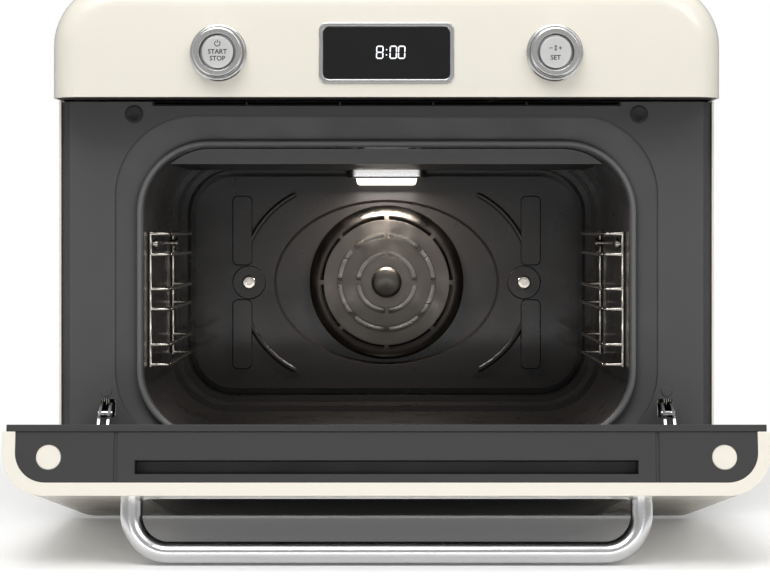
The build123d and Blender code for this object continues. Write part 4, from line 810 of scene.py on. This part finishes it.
class OVEN_OT_controls(bpy.types.Operator):
    """Finish the knobs and buttons with their legends, and light the clock display"""
    bl_idname = "oven.controls"
    bl_label = "Controls"

    def execute(self, context):
        refine("knob_bezels", "satin", edge=0.0003)
        for side in ("left", "right"):
            refine(f"dial_ring_{side}", "knob_metal", edge=0.0004)
            refine(f"dial_button_{side}", "button_metal", edge=0.0003)
        refine("display_bezel", "satin", edge=0.0002)
        refine("display_window", "display", edge=0.0002)
        self.digits()
        self.power_legend()
        self.set_legend()
        return {"FINISHED"}

    def digits(self):
        """Seven-segment 8:00, each segment a flat pointed bar."""
        height = settings().digit_height
        width, stroke, slope = height * 0.52, height * 0.095, 0.03
        half, colon = height / 2, height * 0.22
        segment_gap, segment_print = 1.25, 0.0001
        bars = {"a": (0, half, False), "d": (0, -half, False), "g": (0, 0, False),
                "b": (width / 2, half / 2, True), "c": (width / 2, -half / 2, True),
                "e": (-width / 2, -half / 2, True), "f": (-width / 2, half / 2, True)}
        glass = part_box("display_window")[0][1]
        centre_z = 0.351
        shapes = []
        for figure, centre_x in (("8", -0.0050), ("0", 0.0050), ("0", 0.0112)):
            for name in SEGMENTS[figure]:
                x, z, upright = bars[name]
                length = (half if upright else width) - stroke * segment_gap
                outline = self.sloped(self.pointed_bar(length, stroke, upright), x, z, slope)
                shapes.append((outline, glass - segment_print, segment_print, (centre_x, centre_z)))
        for z in (colon, -colon):
            dot = self.sloped(bar_outline(stroke, stroke), 0, z, slope)
            shapes.append((dot, glass - segment_print, segment_print, (0.0, centre_z)))
        mesh = flat_shapes("clock_digits", shapes)
        add_piece("clock_digits", mesh, "digits", "casing")

    def pointed_bar(self, length, stroke, upright):
        half, tip = length / 2, stroke / 2
        point = tip * 0.6
        outline = [(-half - point, 0), (-half, -tip), (half, -tip), (half + point, 0), (half, tip),
                   (-half, tip)]
        return [(-z, x) for x, z in outline] if upright else outline

    def sloped(self, outline, x, z, slope):
        return [(x + a + slope * (z + b), z + b) for a, b in outline]

    def button_face(self, low, high):
        """Middle of a button's box in X and Z, and the depth at which its print starts."""
        return (low[0] + high[0]) / 2, (low[2] + high[2]) / 2, low[1] - PRINT_GAP

    def power_legend(self):
        """Power symbol over the words START and STOP."""
        x, z, face = self.button_face(*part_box("dial_button_left"))
        symbol_z, line = z + 0.0064, 0.00060
        symbol = flat_shapes("power_symbol", [
            (arc_outline(0.0020, line, -235, 55), face, PRINT, (x, symbol_z)),
            (bar_outline(0.0022, line, True), face, CROSSING_PRINT, (x, symbol_z + 0.0014))])
        words = [text_mesh(word, LETTER_HEIGHT, (x, z - drop), face, PRINT)
                 for word, drop in (("START", 0.0012), ("STOP", 0.0062))]
        mesh = join_meshes("power_legend", [symbol, *words])
        add_piece("power_legend", mesh, "legend", "button_left")

    def set_legend(self):
        """Minus and plus with two dots between them, over the word SET."""
        x, z, face = self.button_face(*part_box("dial_button_right"))
        row, sign_x, length, line, dot_z = z + 0.0030, 0.0034, 0.0024, 0.00055, 0.0011
        bar, dot = bar_outline(length, line), arc_outline(0.0006, 0.0006, 0, 359)
        signs = flat_shapes("plus_and_minus", [
            (bar, face, PRINT, (x - sign_x, row)), (bar, face, PRINT, (x + sign_x, row)),
            (bar_outline(length, line, True), face, CROSSING_PRINT, (x + sign_x, row)),
            (dot, face, PRINT, (x, row + dot_z)), (dot, face, PRINT, (x, row - dot_z))])
        words = text_mesh("SET", LETTER_HEIGHT, (x, z - 0.0056), face, PRINT)
        mesh = join_meshes("set_legend", [signs, words])
        add_piece("set_legend", mesh, "legend", "button_right")


class OVEN_OT_internals(bpy.types.Operator):
    """Finish the parts behind the walls: motors, blower, duct, boards, brackets and pins"""
    bl_idname = "oven.internals"
    bl_label = "Internals"

    def execute(self, context):
        for node, finish in (("air_duct", "galvanised"), ("blower_housing", "galvanised"),
                             ("blower_motor", "copper"), ("blower_wheel", "galvanised"),
                             ("fan_motor", "copper"), ("fan_shaft", "stainless"),
                             ("cable_gland", "dark_plastic"), ("control_board", "board"),
                             ("display_module", "board"), ("encoders", "dark_plastic"),
                             ("hinge_brackets", "galvanised"), ("hinge_pins", "stainless"),
                             ("lamp_socket", "dark_plastic"), ("terminal_box", "dark_plastic"),
                             ("thermal_cutout", "dark_plastic")):
            refine(node, finish, math.radians(35), 0)
        return {"FINISHED"}


# Stage


def area_light(name, place, target, size, power, colour=(1, 1, 1)):
    """Soft rectangular light aimed at a point."""
    data = bpy.data.lights.new(name, "AREA")
    data.shape = "RECTANGLE"
    data.size, data.size_y = size
    data.energy = power
    data.color = colour
    lamp = bpy.data.objects.new(name, data)
    bpy.context.scene.collection.objects.link(lamp)
    lamp.location = place
    lamp.rotation_euler = (Vector(target) - Vector(place)).to_track_quat("-Z", "Y").to_euler()
    return lamp


class OVEN_OT_stage(bpy.types.Operator):
    """Set the worktop, lights, world and camera"""
    bl_idname = "oven.stage"
    bl_label = "Stage"

    def execute(self, context):
        self.floor()
        self.lights()
        self.world()
        self.camera()
        context.scene.view_settings.view_transform = "Standard"
        return {"FINISHED"}

    def floor(self):
        """Pale worktop that takes a soft shadow and runs out to white around the oven."""
        half_size, drop = 6, 0.0002
        mesh = bpy.data.meshes.new("worktop")
        work = bmesh.new()
        bmesh.ops.create_grid(work, x_segments=1, y_segments=1, size=half_size)
        bmesh.ops.translate(work, verts=work.verts, vec=(0, 0, -drop))
        work.to_mesh(mesh)
        work.free()
        floor = bpy.data.objects.new("worktop", mesh)
        bpy.context.scene.collection.objects.link(floor)
        floor.data.materials.append(self.worktop_material())

    def worktop_material(self):
        """Plain grey to the oven's reflections, and to the camera white that fades out."""
        fade_start, fade_end = 0.38, 0.75
        material = bpy.data.materials.new("worktop_white")
        material.use_nodes = True
        tree = material.node_tree
        tree.nodes.clear()
        plain = tree.nodes.new("ShaderNodeBsdfDiffuse")
        plain.inputs["Color"].default_value = (0.8, 0.8, 0.8, 1)
        seen = tree.nodes.new("ShaderNodeBsdfDiffuse")
        gain = stage_settings().worktop_gain
        seen.inputs["Color"].default_value = (gain, gain, gain, 1)
        white = tree.nodes.new("ShaderNodeEmission")
        place = tree.nodes.new("ShaderNodeTexCoord")
        squash = tree.nodes.new("ShaderNodeMapping")
        squash.inputs["Scale"].default_value = (1.0, 1.0, 0.0)
        distance = tree.nodes.new("ShaderNodeVectorMath")
        distance.operation = "LENGTH"
        fade = tree.nodes.new("ShaderNodeMapRange")
        fade.interpolation_type = "SMOOTHSTEP"
        fade.inputs["From Min"].default_value = fade_start
        fade.inputs["From Max"].default_value = fade_end
        tree.links.new(place.outputs["Object"], squash.inputs["Vector"])
        tree.links.new(squash.outputs["Vector"], distance.inputs[0])
        tree.links.new(distance.outputs["Value"], fade.inputs["Value"])
        lift = tree.nodes.new("ShaderNodeEmission")
        lift.inputs["Strength"].default_value = stage_settings().shadow_lift
        lifted = tree.nodes.new("ShaderNodeAddShader")
        tree.links.new(seen.outputs[0], lifted.inputs[0])
        tree.links.new(lift.outputs[0], lifted.inputs[1])
        near = tree.nodes.new("ShaderNodeMixShader")
        tree.links.new(fade.outputs["Result"], near.inputs[0])
        tree.links.new(lifted.outputs[0], near.inputs[1])
        tree.links.new(white.outputs[0], near.inputs[2])
        path = tree.nodes.new("ShaderNodeLightPath")
        both = tree.nodes.new("ShaderNodeMixShader")
        tree.links.new(path.outputs["Is Camera Ray"], both.inputs[0])
        tree.links.new(plain.outputs[0], both.inputs[1])
        tree.links.new(near.outputs[0], both.inputs[2])
        out = tree.nodes.new("ShaderNodeOutputMaterial")
        tree.links.new(both.outputs[0], out.inputs["Surface"])
        return material

    def lights(self):
        """Studio lights as shares of the key light's power, and the oven's own lamp."""
        power = stage_settings().lamp_power
        for name, place, target, size, share in (
                ("key", (-0.6, -1.7, 2.1), (0, 0, 0.2), (1.6, 1.2), 1.0),
                ("fill", (1.3, -1.9, 1.5), (0, 0, 0.2), (1.2, 1.0), 0.45),
                ("top", (0, -0.2, 1.7), (0, -0.1, 0.0), (1.5, 1.2), 0.55),
                ("low", (0, -1.15, 0.04), (0, -0.3, 0.03), (1.2, 0.12), 0.05)):
            area_light(name, place, target, size, power * share)
        low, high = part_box("lamp_glass")
        below_glass, forward, lamp_power, warm = 0.002, 0.02, 0.26, (1.0, 0.93, 0.86)
        under = ((low[0] + high[0]) / 2, (low[1] + high[1]) / 2, low[2] - below_glass)
        area_light("oven_lamp", under, (0, under[1] - forward, 0), (0.05, 0.02), lamp_power, warm)

    def world(self):
        """White to the camera and softer for reflections."""
        world = bpy.data.worlds.new("studio")
        bpy.context.scene.world = world
        world.use_nodes = True
        tree = world.node_tree
        tree.nodes.clear()
        sky = []
        for strength in (1.0, 0.30):
            background = tree.nodes.new("ShaderNodeBackground")
            background.inputs["Color"].default_value = (1, 1, 1, 1)
            background.inputs["Strength"].default_value = strength
            sky.append(background)
        seen, glow = sky
        path = tree.nodes.new("ShaderNodeLightPath")
        mix = tree.nodes.new("ShaderNodeMixShader")
        out = tree.nodes.new("ShaderNodeOutputWorld")
        tree.links.new(path.outputs["Is Camera Ray"], mix.inputs[0])
        tree.links.new(glow.outputs[0], mix.inputs[1])
        tree.links.new(seen.outputs[0], mix.inputs[2])
        tree.links.new(mix.outputs[0], out.inputs["Surface"])

    def camera(self):
        stage = stage_settings()
        data = bpy.data.cameras.new("camera")
        data.sensor_width = 36
        data.lens = stage.lens
        # The photo's frame isn't centred on the oven's middle and the horizon.
        data.shift_x, data.shift_y = -0.002, -0.0766
        camera = bpy.data.objects.new("camera", data)
        bpy.context.scene.collection.objects.link(camera)
        camera.location = (0, -stage.eye_distance, stage.eye_height)
        camera.rotation_euler = (math.pi / 2, 0, 0)
        bpy.context.scene.camera = camera


STEPS = (
    ("casing", "Casing", "MESH_CUBE"), ("front", "Front frame", "MOD_SOLIDIFY"),
    ("chamber", "Chamber", "SNAP_VOLUME"), ("door", "Door", "MESH_PLANE"),
    ("controls", "Controls", "PROP_CON"), ("internals", "Internals", "SETTINGS"),
    ("stage", "Stage", "LIGHT_AREA"))


class OVEN_PT_finish(bpy.types.Panel):
    """Steps and settings of the oven's finish"""
    bl_idname = "OVEN_PT_finish"
    bl_label = "Countertop oven"
    bl_space_type = "VIEW_3D"
    bl_region_type = "UI"
    bl_category = "Oven"

    def draw(self, context):
        layout = self.layout
        colours = layout.box()
        colours.label(text="Finish")
        for name in ("cream", "face", "door_dark", "chamber", "digit_height", "edge_width"):
            colours.prop(context.scene.oven_finish, name)
        light = layout.box()
        light.label(text="Stage")
        for name in ("eye_height", "eye_distance", "lens", "worktop_gain", "shadow_lift", "lamp_power"):
            light.prop(context.scene.oven_stage, name)
        column = layout.column(align=True)
        for name, label, icon in STEPS:
            column.operator(f"oven.{name}", text=label, icon=icon)


CLASSES = (
    OvenFinishSettings, OvenStageSettings, OVEN_OT_casing, OVEN_OT_front, OVEN_OT_chamber, OVEN_OT_door,
    OVEN_OT_controls, OVEN_OT_internals, OVEN_OT_stage, OVEN_PT_finish)


def register():
    for cls in CLASSES:
        bpy.utils.register_class(cls)
    bpy.types.Scene.oven_finish = bpy.props.PointerProperty(type=OvenFinishSettings)
    bpy.types.Scene.oven_stage = bpy.props.PointerProperty(type=OvenStageSettings)


def unregister():
    del bpy.types.Scene.oven_stage
    del bpy.types.Scene.oven_finish
    for cls in reversed(CLASSES):
        bpy.utils.unregister_class(cls)


def main():
    register()
    for name, _, _ in STEPS:
        getattr(bpy.ops.oven, name)()


if __name__ == "__main__":
    main()
